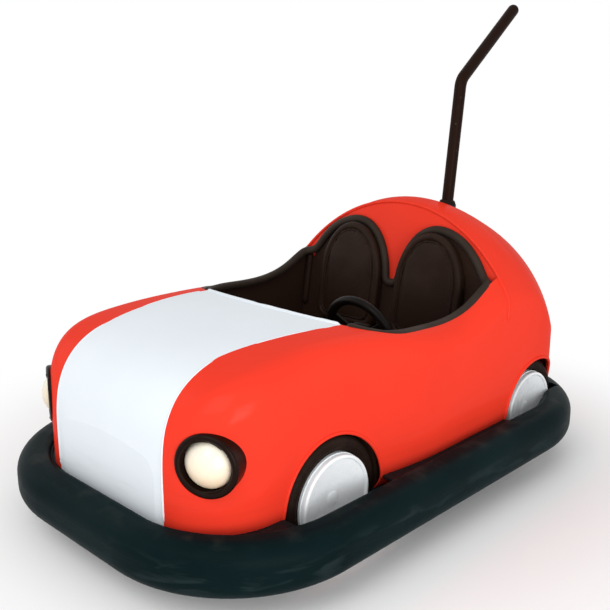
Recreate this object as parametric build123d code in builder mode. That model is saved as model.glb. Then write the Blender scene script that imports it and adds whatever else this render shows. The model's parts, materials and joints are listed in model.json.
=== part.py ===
"""Bumper car (dodgem) with a fat rubber ring, a two-person cockpit and a contact pole.

Units are millimetres. +Z is up from the floor, the car's nose points along -Y and its left side is +X.
The origin is on the floor, halfway between the bumper's nose and the furthest point of the pole.
Heights are measured from the floor. Stations along the car are measured from the middle of the bumper.
"""

import os
from math import cos, radians, sin, sqrt, tan

from build123d import *

os.makedirs("parts", exist_ok=True)

# ---------------------------------------------------------------- driving dimensions
# The rubber bumper: the largest thing in plan, and what the rest of the car is fitted inside.
bumper_length = 1910
bumper_width = 1240
bumper_front_radius = 430
bumper_rear_radius = 440
bumper_depth = 100
bumper_bottom = 76
bumper_top = 226
bumper_outer_rounding = 58
bumper_inner_rounding = 20

# The steel band that carries the bumper, and the plate on it that fills up to the body.
rail_thickness = 6
rail_bottom = 85
rail_top = 200

# Floor pan and the welded frame under it.
floor_bottom = 120
floor_thickness = 8
frame_rail_width = 40
frame_rail_depth = 30
frame_rail_x = 285

# Glass-fibre body mouldings.
skin = 8
side_gap = 35
front_half_width = 438
front_taper_start = -420
nose_gap = 16
tail_overhang = 15
shell_lift = 4
shell_clearance = 20
nose_radius = 220
tail_radius = 235
panel_joint = 20
stripe_half_width_nose = 250
stripe_half_width_cockpit = 325
stripe_bow = 6

# Cockpit opening and seat.
opening_half_width = 428
opening_front_centre = -272
opening_front_corner = -165
opening_corner_radius = 140
bulkhead_foot_y = 357
bulkhead_foot_z = 330
bulkhead_lean = 9
liner_inset = 7
liner_thickness = 5
back_panel_rim = 10
back_panel_shoulder = 450
firewall_y = -290
seat_front = 105
seat_top = 330
seat_wall = 6
cushion_thickness = 68
backrest_thickness = 50
backrest_centre_x = 178
backrest_half_width = 140
backrest_shoulder = 590
backrest_top = 800

# Road wheels on the two sides.
wheel_radius = 182
tyre_width = 88
rim_radius = 134
wheel_wall = 7
hub_radius = 34
hub_cap_radius = 132
hub_cap_proud = 16
arch_gap = 8
notch_gap = 7
front_wheel_y = -400
front_wheel_face_x = 444
front_wheel_lift = 7
rear_wheel_y = 604
rear_wheel_face_x = 455
axle_radius = 15
stub_bracket_x = 322
axle_bracket_x = 290
bracket_thickness = 12

# Drive unit under the bonnet: a steered wheel below a motor, turning in a ring on the floor pan.
drive_y = -495
drive_wheel_radius = 125
drive_tyre_width = 70
drive_rim_radius = 88
turntable_radius = 172
turntable_bore = 142
turntable_thickness = 14
bearing_lip = 20
bearing_wall = 24
fork_plate_gap = 54
fork_plate_thickness = 10
fork_top = 272
motor_width = 150
motor_length = 190
motor_height = 140
spigot_radius = 22
spigot_height = 30

# Steering.
steering_x = 160
steering_y = 35
steering_z = 505
steering_rake = 14
steering_wheel_radius = 145
steering_rim_radius = 15
steering_spoke_width = 26
column_radius = 12
column_sleeve_radius = 20
column_length = 358
chain_case_bottom = 428
chain_case_height = 46

# Lamps.
lamp_x = 359
lamp_y = -767
lamp_z = 393
lamp_splay = 27
bezel_radius = 86
lens_radius = 66
lens_bulge = 42
bezel_proud = 30
lamp_depth = 60

# Contact pole and its collar on the rear deck.
pole_radius = 22
pole_foot_y = 720
pole_foot_z = 850
pole_bend_y = 777
pole_bend_z = 1312
pole_tip_y = 1112
pole_tip_z = 1576
collar_radius = 34
collar_height = 75
pole_seat_depth = 55

# Smaller sizes of the pieces above.
bearing_base = 6
bracket_half_width = 42
rim_setback = 2
hub_setback = 16
hub_cap_thickness = 4
hub_cap_lip = 6
hub_cap_dish = 7
tyre_rounding = 24
drive_tyre_rounding = 12
drive_axle_radius = 10
fork_foot_half = 150
fork_foot_height = 26
fork_crown_half = 75
fork_neck_half = 60
fork_tip_half = 28
motor_rounding = 20
gear_box_half = 46
gear_box_bottom = 330
chain_case_radius = 46
steering_hub_radius = 32
steering_hub_height = 34
steering_spoke_thickness = 8
sleeve_start = 90
column_end_gap = 8
bezel_rounding = 9
lens_seat = 2
lens_ledge = 8
lens_edge = 4
lamp_wall = 4
pole_wall = 3
pole_bend_radius = 60
collar_proud = 5
cap_spigot = 40
cushion_gap = 6
cushion_overhang = 6
cushion_rounding = 20
backrest_gap = 12
backrest_rounding = 22
pedal_width = 90
pedal_length = 90
pedal_rise = 60
pedal_thickness = 8
pedal_heel_y = -165

# Clearances.
running_clearance = 0.3
soft_clearance = 0.3

# ---------------------------------------------------------------- places worked out from them
pole_overhang = pole_tip_y + pole_radius - bumper_length / 2
car_y = -pole_overhang / 2
floor_top = floor_bottom + floor_thickness
body_half_width = bumper_width / 2 - bumper_depth - side_gap
nose_y = -(bumper_length / 2 - bumper_depth - nose_gap)
tail_y = bumper_length / 2 - bumper_depth + tail_overhang
lean = radians(bulkhead_lean)
rake = radians(steering_rake)
splay = radians(lamp_splay)
front_axle_z = wheel_radius + front_wheel_lift
sides = (("left", 1), ("right", -1))


def at(x, y, z):
    """A point of the part from a station y measured from the middle of the bumper."""
    return (x, car_y + y, z)


def bumper_plan(inset, height):
    """The bumper's rounded outline, drawn in by inset, as a face at a height."""
    with BuildSketch(Plane(at(0, 0, height))) as plan:
        Rectangle(bumper_width - 2 * inset, bumper_length - 2 * inset)
        fillet(plan.vertices().group_by(Axis.Y)[0], bumper_front_radius - inset)
        fillet(plan.vertices().group_by(Axis.Y)[-1], bumper_rear_radius - inset)
    return plan.sketch


def body_width_at(y, inset):
    """Half width of the body's plan: it flares behind the front wheels and is round at each end."""
    front_centre = nose_y + nose_radius
    rear_centre = tail_y - tail_radius
    if y < front_centre:
        reach, radius = front_centre - y, nose_radius - inset
        return front_half_width - nose_radius + sqrt(max(radius**2 - reach**2, 1))
    if y > rear_centre:
        reach, radius = y - rear_centre, tail_radius - inset
        return body_half_width - tail_radius + sqrt(max(radius**2 - reach**2, 1))
    share = min(max((y - front_taper_start) / (panel_joint - front_taper_start), 0), 1)
    flare = (body_half_width - front_half_width) * share**2 * (3 - 2 * share)
    return front_half_width + flare - inset


def body_section(y, shoulder, crown, corner, inset):
    """One frame of the body: base, two upright sides and a crowned top with rounded shoulders."""
    half = body_width_at(y, inset)
    base = floor_top - (0 if inset == 0 else 5)
    with BuildSketch(Plane(at(0, y, 0), x_dir=(1, 0, 0), z_dir=(0, -1, 0))) as frame:
        with BuildLine():
            Polyline((-half, shoulder - inset), (-half, base), (half, base), (half, shoulder - inset))
            ThreePointArc((half, shoulder - inset), (0, crown - inset), (-half, shoulder - inset))
        make_face()
        fillet(frame.vertices().group_by(Axis.Z)[-1], corner - inset / 2)
    return frame.sketch


# station, shoulder height, crown height, shoulder rounding, way the roof faces (-1 nose, 0 flat, 1 tail)
body_frames = (
    (nose_y, 370, 395, 55, -1),
    (nose_y + 14, 442, 468, 65, -1),
    (nose_y + 55, 522, 548, 75, -1),
    (nose_y + 150, 582, 610, 85, -1),
    (nose_y + 300, 612, 638, 92, -1),
    (-400, 618, 645, 92, 0),
    (-260, 613, 642, 92, 0),
    (-120, 600, 635, 90, 0),
    (panel_joint, 586, 627, 90, 0),
    (140, 580, 640, 90, 0),
    (250, 588, 700, 90, 0),
    (345, 606, 818, 90, 0),
    (430, 612, 880, 95, 0),
    (520, 605, 900, 95, 0),
    (620, 570, 868, 95, 0),
    (710, 470, 830, 90, 1),
    (790, 430, 780, 80, 1),
    (tail_y - 30, 400, 712, 70, 1),
    (tail_y, 350, 620, 55, 1),
)


def body_solid(inset):
    """The whole body, lofted through its frames. With an inset it is the hollow inside the mouldings."""
    with BuildPart() as solid:
        for y, shoulder, crown, corner, facing in body_frames:
            station = y if inset == 0 else y - facing * inset
            add(body_section(station, shoulder, crown, corner, inset))
        loft()
    return solid.part


def up_the_bulkhead(height):
    """Distance up the leaning bulkhead from its foot to a height above the floor."""
    return (height - bulkhead_foot_z) / cos(lean)


def wheel_place(name, side):
    """Centre of a road wheel's outer face."""
    if name == "front":
        return at(side * front_wheel_face_x, front_wheel_y, front_axle_z)
    return at(side * rear_wheel_face_x, rear_wheel_y, wheel_radius)


def outward(origin, side):
    """A plane on a side of the car whose normal points away from the car."""
    return Plane(origin, x_dir=(0, side, 0), z_dir=(side, 0, 0))


def save(piece, label):
    """Name a finished piece and write it."""
    piece.part.label = label
    export_step(piece.part, f"parts/{label}.step")


# The steering column's axis points up at the driver. The collar's axis is the pole's lower run.
column_plane = Plane(
    at(steering_x, steering_y, steering_z), x_dir=(1, 0, 0), z_dir=(0, cos(rake), sin(rake))
)
pole_direction = Vector(0, pole_bend_y - pole_foot_y, pole_bend_z - pole_foot_z).normalized()
collar_plane = Plane(at(0, pole_foot_y, pole_foot_z), x_dir=(1, 0, 0), z_dir=pole_direction)

# ---------------------------------------------------------------- reference shapes, not pieces
body_outside = body_solid(0)
body_inside = body_solid(skin)
panel_plane = Plane(at(0, panel_joint, 0), x_dir=(1, 0, 0), z_dir=(0, -1, 0))

bulkhead = Plane(
    at(0, bulkhead_foot_y, bulkhead_foot_z), x_dir=(1, 0, 0), z_dir=(0, -cos(lean), sin(lean))
)
bulkhead_size = 2 * bumper_width

# Everything in front of the leaning bulkhead, inside the cockpit's outline, is open.
with BuildPart() as opening:
    with BuildSketch(Plane(at(0, 0, bulkhead_foot_z))) as outline:
        with BuildLine():
            ThreePointArc(
                (-opening_half_width, opening_front_corner),
                (0, opening_front_centre),
                (opening_half_width, opening_front_corner),
            )
            Polyline(
                (opening_half_width, opening_front_corner),
                (opening_half_width, tail_y),
                (-opening_half_width, tail_y),
                (-opening_half_width, opening_front_corner),
            )
        make_face()
        fillet(outline.vertices().group_by(Axis.Y)[0], opening_corner_radius)
    extrude(amount=bumper_width)
    split(bisect_by=bulkhead, keep=Keep.TOP)

# The white panel runs from the nose to the cockpit and widens towards it.
stripe_bend_y = nose_y + 200
stripe_end_y = panel_joint + 1
stripe_middle = (
    (stripe_half_width_nose + stripe_half_width_cockpit) / 2 + stripe_bow,
    (stripe_bend_y + stripe_end_y) / 2,
)
with BuildPart() as stripe_block:
    with BuildSketch(Plane(at(0, 0, 0))):
        with BuildLine():
            Polyline(
                (stripe_half_width_nose, stripe_bend_y),
                (stripe_half_width_nose, nose_y - 50),
                (-stripe_half_width_nose, nose_y - 50),
                (-stripe_half_width_nose, stripe_bend_y),
            )
            for side in (1, -1):
                ThreePointArc(
                    (side * stripe_half_width_nose, stripe_bend_y),
                    (side * stripe_middle[0], stripe_middle[1]),
                    (side * stripe_half_width_cockpit, stripe_end_y),
                )
            Line((stripe_half_width_cockpit, stripe_end_y), (-stripe_half_width_cockpit, stripe_end_y))
        make_face()
    extrude(amount=bumper_width)

# The space that each road wheel needs in the body, floor and side plates.
arch_reach = bumper_width / 4
with BuildPart() as arches:
    for axle in ("front", "rear"):
        for side_name, side in sides:
            face_x, face_y, hub_z = wheel_place(axle, side)
            with BuildSketch(outward((face_x - side * (tyre_width + arch_gap), face_y, hub_z), side)):
                Circle(wheel_radius + arch_gap)
            extrude(amount=arch_reach)

# The ring, its band and the floor are notched where a wheel stands close behind them.
with BuildPart() as wheel_notches:
    for axle in ("front", "rear"):
        for side_name, side in sides:
            face_x, face_y, hub_z = wheel_place(axle, side)
            with BuildSketch(outward((face_x - side * (tyre_width + notch_gap), face_y, hub_z), side)):
                Circle(wheel_radius + notch_gap)
            extrude(amount=tyre_width + hub_cap_proud + 2 * notch_gap)

# The shell stands over the ring's rear corners, so it ends just above the ring there.
with BuildPart() as ring_space:
    add(bumper_plan(-bumper_depth, 0))
    extrude(amount=bumper_top + shell_lift)
    add(bumper_plan(bumper_depth + shell_clearance, 0))
    extrude(amount=bumper_top + shell_lift, mode=Mode.SUBTRACT)

# ---------------------------------------------------------------- bumper and its steel band
with BuildPart() as bumper:
    add(bumper_plan(0, bumper_bottom))
    extrude(amount=bumper_top - bumper_bottom)
    add(bumper_plan(bumper_depth, bumper_bottom))
    extrude(amount=bumper_top - bumper_bottom, mode=Mode.SUBTRACT)
    flats = bumper.faces().filter_by(Axis.Z)
    outer_rims = flats[0].outer_wire().edges() + flats[1].outer_wire().edges()
    inner_rims = flats[0].inner_wires()[0].edges() + flats[1].inner_wires()[0].edges()
    fillet(outer_rims, bumper_outer_rounding)
    fillet(inner_rims, bumper_inner_rounding)
    add(wheel_notches.part, mode=Mode.SUBTRACT)
save(bumper, "bumper")

with BuildPart() as perimeter_rail:
    add(bumper_plan(bumper_depth, rail_top - rail_thickness))
    extrude(amount=rail_thickness)
    add(body_outside, mode=Mode.SUBTRACT)
    add(arches.part, mode=Mode.SUBTRACT)
    with BuildPart(mode=Mode.PRIVATE) as band:
        add(bumper_plan(bumper_depth, rail_bottom))
        extrude(amount=rail_top - rail_bottom)
        add(bumper_plan(bumper_depth + rail_thickness, rail_bottom))
        extrude(amount=rail_top - rail_bottom, mode=Mode.SUBTRACT)
    add(band.part)
    add(wheel_notches.part, mode=Mode.SUBTRACT)
save(perimeter_rail, "perimeter_rail")

# ---------------------------------------------------------------- floor pan and frame
bearing_outer_radius = turntable_radius + running_clearance + bearing_wall
drive_hole_radius = turntable_radius - bearing_lip
drive_centre = at(0, drive_y, floor_bottom)

with BuildPart() as floor_pan:
    add(bumper_plan(bumper_depth + rail_thickness, floor_bottom))
    extrude(amount=floor_thickness)
    with Locations(drive_centre):
        Cylinder(
            drive_hole_radius,
            4 * floor_thickness,
            mode=Mode.SUBTRACT,
        )
    add(arches.part, mode=Mode.SUBTRACT)
save(floor_pan, "floor_pan")

frame_front_y = drive_y - bearing_outer_radius - 40
frame_rear_y = rear_wheel_y + 60
cross_members = (frame_front_y, drive_y + bearing_outer_radius + 40, bulkhead_foot_y, frame_rear_y)
with BuildPart() as chassis_frame:
    frame_centre_z = floor_bottom - frame_rail_depth / 2
    with Locations(
        *[at(side * frame_rail_x, (frame_front_y + frame_rear_y) / 2, frame_centre_z) for _, side in sides]
    ):
        Box(frame_rail_width, frame_rear_y - frame_front_y + frame_rail_width, frame_rail_depth)
    with Locations(*[at(0, y, frame_centre_z) for y in cross_members]):
        Box(2 * frame_rail_x, frame_rail_width, frame_rail_depth)
save(chassis_frame, "chassis_frame")

# ---------------------------------------------------------------- body mouldings
lamp_places = {
    side: Plane(
        at(side * lamp_x, lamp_y, lamp_z),
        x_dir=(cos(splay), side * sin(splay), 0),
        z_dir=(side * sin(splay), -cos(splay), 0),
    )
    for _, side in sides
}

with BuildPart() as front_moulding:
    add(body_outside)
    add(body_inside, mode=Mode.SUBTRACT)
    split(bisect_by=panel_plane, keep=Keep.TOP)
    add(opening.part, mode=Mode.SUBTRACT)
    add(arches.part, mode=Mode.SUBTRACT)
    for lamp_plane in lamp_places.values():
        with BuildSketch(lamp_plane):
            Circle(bezel_radius + running_clearance)
        extrude(amount=2 * lamp_depth, both=True, mode=Mode.SUBTRACT)

with BuildPart() as bonnet_panel:
    add(front_moulding.part)
    add(stripe_block.part, mode=Mode.INTERSECT)
save(bonnet_panel, "bonnet_panel")

with BuildPart() as wings:
    add(front_moulding.part)
    add(stripe_block.part, mode=Mode.SUBTRACT)
for side_name, side in sides:
    with BuildPart() as front_wing:
        add(wings.part)
        split(bisect_by=Plane.YZ, keep=Keep.TOP if side > 0 else Keep.BOTTOM)
    save(front_wing, f"{side_name}_front_wing")

with BuildPart() as rear_body:
    add(body_outside)
    add(body_inside, mode=Mode.SUBTRACT)
    with BuildPart(mode=Mode.PRIVATE) as bulkhead_wall:
        with BuildSketch(bulkhead):
            Rectangle(bulkhead_size, bulkhead_size)
        extrude(amount=-skin)
        add(body_outside, mode=Mode.INTERSECT)
    add(bulkhead_wall.part)
    split(bisect_by=panel_plane, keep=Keep.BOTTOM)
    add(opening.part, mode=Mode.SUBTRACT)
    add(arches.part, mode=Mode.SUBTRACT)
    with BuildSketch(collar_plane):
        Circle(collar_radius + running_clearance)
    extrude(amount=2 * collar_height, both=True, mode=Mode.SUBTRACT)
    add(ring_space.part, mode=Mode.SUBTRACT)
save(rear_body, "rear_body_shell")

# ---------------------------------------------------------------- cockpit
# The liner closes the footwell: two side walls, a firewall and a house over each front wheel.
liner_side = opening_half_width + liner_inset
with BuildPart() as wheel_houses:
    for side_name, side in sides:
        face_x, face_y, hub_z = wheel_place("front", side)
        house_face = face_x - side * (tyre_width + arch_gap + liner_thickness)
        with BuildSketch(outward((house_face, face_y, hub_z), side)):
            Circle(wheel_radius + arch_gap + liner_thickness)
        extrude(amount=arch_reach)

with BuildPart() as cockpit_liner:
    liner_middle = (firewall_y + tail_y) / 2
    liner_length = tail_y - firewall_y
    with BuildSketch(Plane(at(0, liner_middle, floor_top))):
        Rectangle(2 * liner_side, liner_length)
    extrude(amount=bumper_width)
    with BuildPart(mode=Mode.PRIVATE) as footwell:
        with BuildSketch(Plane(at(0, liner_middle, floor_top))):
            Rectangle(2 * (liner_side - liner_thickness), liner_length - 2 * liner_thickness)
        extrude(amount=bumper_width)
        add(wheel_houses.part, mode=Mode.SUBTRACT)
    add(footwell.part, mode=Mode.SUBTRACT)
    add(arches.part, mode=Mode.SUBTRACT)
    with BuildSketch(bulkhead):
        with Locations((0, up_the_bulkhead(seat_top + soft_clearance))):
            Rectangle(
                2 * liner_side,
                up_the_bulkhead(back_panel_shoulder) - up_the_bulkhead(seat_top),
                align=(Align.CENTER, Align.MIN),
            )
            Rectangle(
                2 * backrest_centre_x,
                up_the_bulkhead(backrest_shoulder) - up_the_bulkhead(seat_top),
                align=(Align.CENTER, Align.MIN),
            )
    extrude(amount=liner_thickness)
    add(body_inside, mode=Mode.INTERSECT)
    split(bisect_by=bulkhead, keep=Keep.TOP)
    with BuildSketch(bulkhead):
        flank_foot = up_the_bulkhead(back_panel_shoulder)
        flank_rise = up_the_bulkhead(backrest_top) - flank_foot
        with Locations(*[(side * backrest_centre_x, flank_foot) for _, side in sides]):
            Ellipse(liner_side - backrest_centre_x, flank_rise + back_panel_rim)
        Rectangle(2 * backrest_centre_x, bulkhead_size, mode=Mode.SUBTRACT)
        hump_foot = up_the_bulkhead(backrest_shoulder)
        hump_rise = up_the_bulkhead(backrest_top) - hump_foot
        with Locations(*[(side * backrest_centre_x, hump_foot) for _, side in sides]):
            Ellipse(backrest_half_width + back_panel_rim, hump_rise + back_panel_rim)
        with Locations((0, up_the_bulkhead(seat_top + backrest_gap))):
            Rectangle(bulkhead_size, bulkhead_size, align=(Align.CENTER, Align.MAX), mode=Mode.SUBTRACT)
    extrude(amount=liner_thickness)
    with BuildSketch(column_plane):
        Circle(column_sleeve_radius + running_clearance)
    extrude(amount=-2 * column_length, mode=Mode.SUBTRACT)
save(cockpit_liner, "cockpit_liner")

bench_half_width = liner_side - liner_thickness
bench_depth = bulkhead_foot_y + 100 - seat_front
with BuildPart() as seat_base:
    with Locations(at(0, seat_front, floor_top)):
        Box(
            2 * bench_half_width,
            bench_depth,
            seat_top - floor_top,
            align=(Align.CENTER, Align.MIN, Align.MIN),
        )
    with Locations(at(0, seat_front + seat_wall, floor_top)):
        Box(
            2 * bench_half_width,
            bench_depth,
            seat_top - floor_top - seat_wall,
            align=(Align.CENTER, Align.MIN, Align.MIN),
            mode=Mode.SUBTRACT,
        )
    split(bisect_by=bulkhead, keep=Keep.TOP)
save(seat_base, "seat_base")

cushion_rear = bulkhead_foot_y - cushion_thickness * tan(lean) - liner_thickness - cushion_gap
with BuildPart() as seat_cushion:
    with Locations(at(0, seat_front - cushion_overhang, seat_top + soft_clearance)):
        Box(
            2 * (bench_half_width - cushion_gap),
            cushion_rear - seat_front + cushion_overhang,
            cushion_thickness,
            align=(Align.CENTER, Align.MIN, Align.MIN),
        )
    fillet(seat_cushion.edges(), cushion_rounding)
save(seat_cushion, "seat_cushion")


backrest_foot = up_the_bulkhead(seat_top + cushion_thickness + backrest_gap)
backrest_waist = up_the_bulkhead(backrest_shoulder)
backrest_crown = up_the_bulkhead(backrest_top)
for side_name, side in sides:
    with BuildPart() as backrest:
        with BuildSketch(bulkhead.offset(liner_thickness + soft_clearance)):
            with BuildLine():
                waist_left = (side * backrest_centre_x - backrest_half_width, backrest_waist)
                waist_right = (side * backrest_centre_x + backrest_half_width, backrest_waist)
                EllipticalCenterArc(
                    (side * backrest_centre_x, backrest_waist),
                    backrest_half_width,
                    backrest_crown - backrest_waist,
                    arc_size=180,
                )
                Polyline(
                    waist_left,
                    (waist_left[0], backrest_foot),
                    (waist_right[0], backrest_foot),
                    waist_right,
                )
            make_face()
        extrude(amount=backrest_thickness)
        front_edges = backrest.faces().sort_by(Axis.Y)[0].edges()
        fillet(front_edges, backrest_rounding)
    save(backrest, f"{side_name}_backrest")

pedal_x = steering_x
with BuildPart() as accelerator_pedal:
    with BuildSketch(Plane(at(pedal_x - pedal_width / 2, 0, floor_top), x_dir=(0, 1, 0), z_dir=(1, 0, 0))):
        with BuildLine():
            Polyline(
                (pedal_heel_y, 0),
                (pedal_heel_y, pedal_thickness),
                (pedal_heel_y - pedal_length, pedal_thickness + pedal_rise),
                (pedal_heel_y - pedal_length - pedal_thickness, pedal_rise),
                (pedal_heel_y - pedal_length / 2, 0),
                close=True,
            )
        make_face()
    extrude(amount=pedal_width)
save(accelerator_pedal, "accelerator_pedal")

# ---------------------------------------------------------------- steering wheel and its column
with BuildPart() as steering_wheel:
    with Locations(column_plane):
        Torus(steering_wheel_radius - steering_rim_radius, steering_rim_radius)
        Cylinder(steering_hub_radius, steering_hub_height)
    with BuildSketch(column_plane.offset(-steering_spoke_thickness / 2)):
        with PolarLocations(0, 3, start_angle=90):
            with Locations((steering_wheel_radius / 2, 0)):
                Rectangle(steering_wheel_radius - steering_rim_radius, steering_spoke_width)
    extrude(amount=steering_spoke_thickness)
save(steering_wheel, "steering_wheel")

with BuildPart() as steering_column:
    with BuildSketch(column_plane.offset(-steering_hub_height / 2)):
        Circle(column_radius)
    extrude(amount=-(column_length - steering_hub_height / 2))
save(steering_column, "steering_column")

with BuildPart() as column_sleeve:
    with BuildSketch(column_plane.offset(-sleeve_start)):
        Circle(column_sleeve_radius)
        Circle(column_radius + running_clearance, mode=Mode.SUBTRACT)
    extrude(amount=-(column_length - sleeve_start - column_end_gap))
save(column_sleeve, "column_sleeve")

# Closed case: a bevel box on the firewall below, and the chain's run over to the drive unit above.
gear_box_size = 2 * gear_box_half
gear_y = firewall_y - gear_box_half
with BuildPart() as chain_case:
    with BuildSketch(Plane(at(0, 0, chain_case_bottom))):
        for centre in ((steering_x, gear_y), (0, drive_y)):
            with Locations(centre):
                Circle(chain_case_radius)
        make_hull()
    extrude(amount=chain_case_height)
    with Locations(at(steering_x, gear_y, gear_box_bottom)):
        Box(
            gear_box_size,
            gear_box_size,
            chain_case_bottom - gear_box_bottom,
            align=(Align.CENTER, Align.CENTER, Align.MIN),
        )
    split(bisect_by=Plane(at(0, firewall_y, 0), x_dir=(1, 0, 0), z_dir=(0, -1, 0)), keep=Keep.TOP)
    with BuildSketch(column_plane):
        Circle(column_sleeve_radius + running_clearance)
    extrude(amount=-(column_length - column_end_gap), mode=Mode.SUBTRACT)
    with BuildSketch(column_plane):
        Circle(column_radius + running_clearance)
    extrude(amount=-(column_length + column_end_gap), mode=Mode.SUBTRACT)
    with BuildSketch(Plane(at(0, drive_y, chain_case_bottom))):
        Circle(spigot_radius + running_clearance)
    extrude(amount=chain_case_height / 2, mode=Mode.SUBTRACT)
save(chain_case, "steering_chain_case")

# ---------------------------------------------------------------- drive unit
ring_floor = floor_top + bearing_base
ring_bottom = ring_floor + running_clearance
ring_top = ring_bottom + turntable_thickness
with BuildPart() as drive_bearing_ring:
    with BuildSketch(Plane(at(0, drive_y, floor_top))):
        Circle(bearing_outer_radius)
        Circle(drive_hole_radius, mode=Mode.SUBTRACT)
    extrude(amount=bearing_base)
    with BuildSketch(Plane(at(0, drive_y, ring_floor))):
        Circle(bearing_outer_radius)
        Circle(turntable_radius + running_clearance, mode=Mode.SUBTRACT)
    extrude(amount=turntable_thickness)
save(drive_bearing_ring, "drive_bearing_ring")

fork_half = fork_plate_gap + fork_plate_thickness
with BuildPart() as drive_fork:
    with BuildSketch(Plane(at(0, drive_y, ring_bottom))):
        Circle(turntable_radius)
        Circle(turntable_bore, mode=Mode.SUBTRACT)
    extrude(amount=turntable_thickness)
    for side_name, side in sides:
        with BuildSketch(
            Plane(at(side * fork_plate_gap, drive_y, 0), x_dir=(0, side, 0), z_dir=(side, 0, 0))
        ):
            with BuildLine():
                Polyline(
                    (-fork_foot_half, ring_top),
                    (-fork_foot_half, ring_top + fork_foot_height),
                    (-fork_crown_half, fork_top),
                    (fork_crown_half, fork_top),
                    (fork_foot_half, ring_top + fork_foot_height),
                    (fork_foot_half, ring_top),
                    (fork_neck_half, ring_top),
                    (fork_tip_half, drive_wheel_radius - fork_tip_half),
                    (-fork_tip_half, drive_wheel_radius - fork_tip_half),
                    (-fork_neck_half, ring_top),
                    close=True,
                )
            make_face()
        extrude(amount=fork_plate_thickness)
    with Locations(at(0, drive_y, fork_top - fork_plate_thickness)):
        Box(
            2 * fork_plate_gap,
            2 * fork_crown_half,
            fork_plate_thickness,
            align=(Align.CENTER, Align.CENTER, Align.MIN),
        )
    with BuildSketch(Plane(at(-fork_half, drive_y, drive_wheel_radius), x_dir=(0, 1, 0), z_dir=(1, 0, 0))):
        Circle(drive_axle_radius)
    extrude(amount=2 * fork_half)
save(drive_fork, "drive_fork")

with BuildPart() as drive_motor:
    with Locations(at(0, drive_y, fork_top)):
        Box(
            motor_width,
            motor_length,
            motor_height,
            align=(Align.CENTER, Align.CENTER, Align.MIN),
        )
    fillet(drive_motor.edges().filter_by(Axis.Z), motor_rounding)
    with Locations(at(0, drive_y, fork_top + motor_height)):
        Cylinder(
            spigot_radius,
            spigot_height,
            align=(Align.CENTER, Align.CENTER, Align.MIN),
        )
save(drive_motor, "drive_motor")


def keep_one_side(radius):
    """Cut the sketch in hand back to the half that is turned into a round piece of this radius."""
    Rectangle(radius, 4 * radius, align=(Align.MIN, Align.CENTER), mode=Mode.INTERSECT)


def turned(name, centre, side, rectangles, rounding):
    """A round piece turned about a wheel's axle.

    Each rectangle is (inner radius, outer radius, inner face, outer face), with the faces measured
    outwards from the centre. The corners at the largest radius get the rounding.
    """
    place = Plane(centre, x_dir=(0, 0, 1), z_dir=(0, side, 0))
    with BuildPart() as piece:
        with BuildSketch(place) as profile:
            for inner, outer, low, high in rectangles:
                with Locations(((inner + outer) / 2, (low + high) / 2)):
                    Rectangle(outer - inner, high - low)
            if rounding:
                widest = profile.vertices().group_by(Axis.Z)[-1]
                fillet(widest, rounding)
        revolve(axis=Axis(centre, (side, 0, 0)))
    save(piece, name)


drive_hub_place = at(0, drive_y, drive_wheel_radius)
half_tyre = drive_tyre_width / 2
half_rim = half_tyre - 5
drive_rim_rectangles = ((drive_axle_radius + running_clearance, drive_rim_radius, -half_rim, half_rim),)
drive_tyre_rectangles = ((drive_rim_radius, drive_wheel_radius, -half_tyre, half_tyre),)
turned("drive_wheel_hub", drive_hub_place, 1, drive_rim_rectangles, 0)
turned("drive_tyre", drive_hub_place, 1, drive_tyre_rectangles, drive_tyre_rounding)

# ---------------------------------------------------------------- road wheels and what carries them
hub_inner_face = -tyre_width + rim_setback
web_middle = -tyre_width / 2
rim_rectangles = (
    (rim_radius - wheel_wall, rim_radius, -tyre_width + rim_setback, -rim_setback),
    (hub_radius - wheel_wall, rim_radius - wheel_wall / 2, web_middle - wheel_wall, web_middle + wheel_wall),
    (axle_radius + running_clearance, hub_radius, hub_inner_face, -hub_setback),
)
tyre_rectangles = ((rim_radius, wheel_radius, -tyre_width, 0),)
lip_start = hub_cap_proud - hub_cap_lip
for axle in ("front", "rear"):
    for side_name, side in sides:
        face = wheel_place(axle, side)
        turned(f"{axle}_{side_name}_wheel", face, side, rim_rectangles, 0)
        turned(f"{axle}_{side_name}_tyre", face, side, tyre_rectangles, tyre_rounding)
        with BuildPart() as hub_cap:
            with BuildSketch(Plane(face, x_dir=(0, 0, 1), z_dir=(0, side, 0))):
                with BuildLine():
                    for end in (1, -1):
                        foot = end * (hub_cap_radius - wheel_wall)
                        edge = end * hub_cap_radius
                        Polyline((foot, -rim_setback), (edge, -rim_setback), (edge, lip_start))
                        ThreePointArc(
                            (edge, lip_start),
                            (edge - end * hub_cap_lip, hub_cap_proud),
                            (edge - end * 2 * hub_cap_lip, lip_start),
                        )
                    dish_edge = hub_cap_radius - 2 * hub_cap_lip
                    ThreePointArc((-dish_edge, lip_start), (0, -hub_cap_dish), (dish_edge, lip_start))
                    ThreePointArc(
                        (hub_cap_radius - wheel_wall, -rim_setback),
                        (0, -hub_cap_dish - hub_cap_thickness),
                        (wheel_wall - hub_cap_radius, -rim_setback),
                    )
                make_face()
                keep_one_side(hub_cap_radius)
            revolve(axis=Axis(face, (side, 0, 0)))
        save(hub_cap, f"{axle}_{side_name}_hub_cap")


def axle_bracket(side, x, y, hub_z):
    """An upright plate on the floor pan, rounded about the axle that it carries."""
    with BuildPart(mode=Mode.PRIVATE) as bracket:
        with BuildSketch(Plane(at(side * x, y, floor_top), x_dir=(0, side, 0), z_dir=(side, 0, 0))):
            Rectangle(2 * bracket_half_width, hub_z - floor_top, align=(Align.CENTER, Align.MIN))
            with Locations((0, hub_z - floor_top)):
                Circle(bracket_half_width)
        extrude(amount=bracket_thickness)
    return bracket.part


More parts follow.
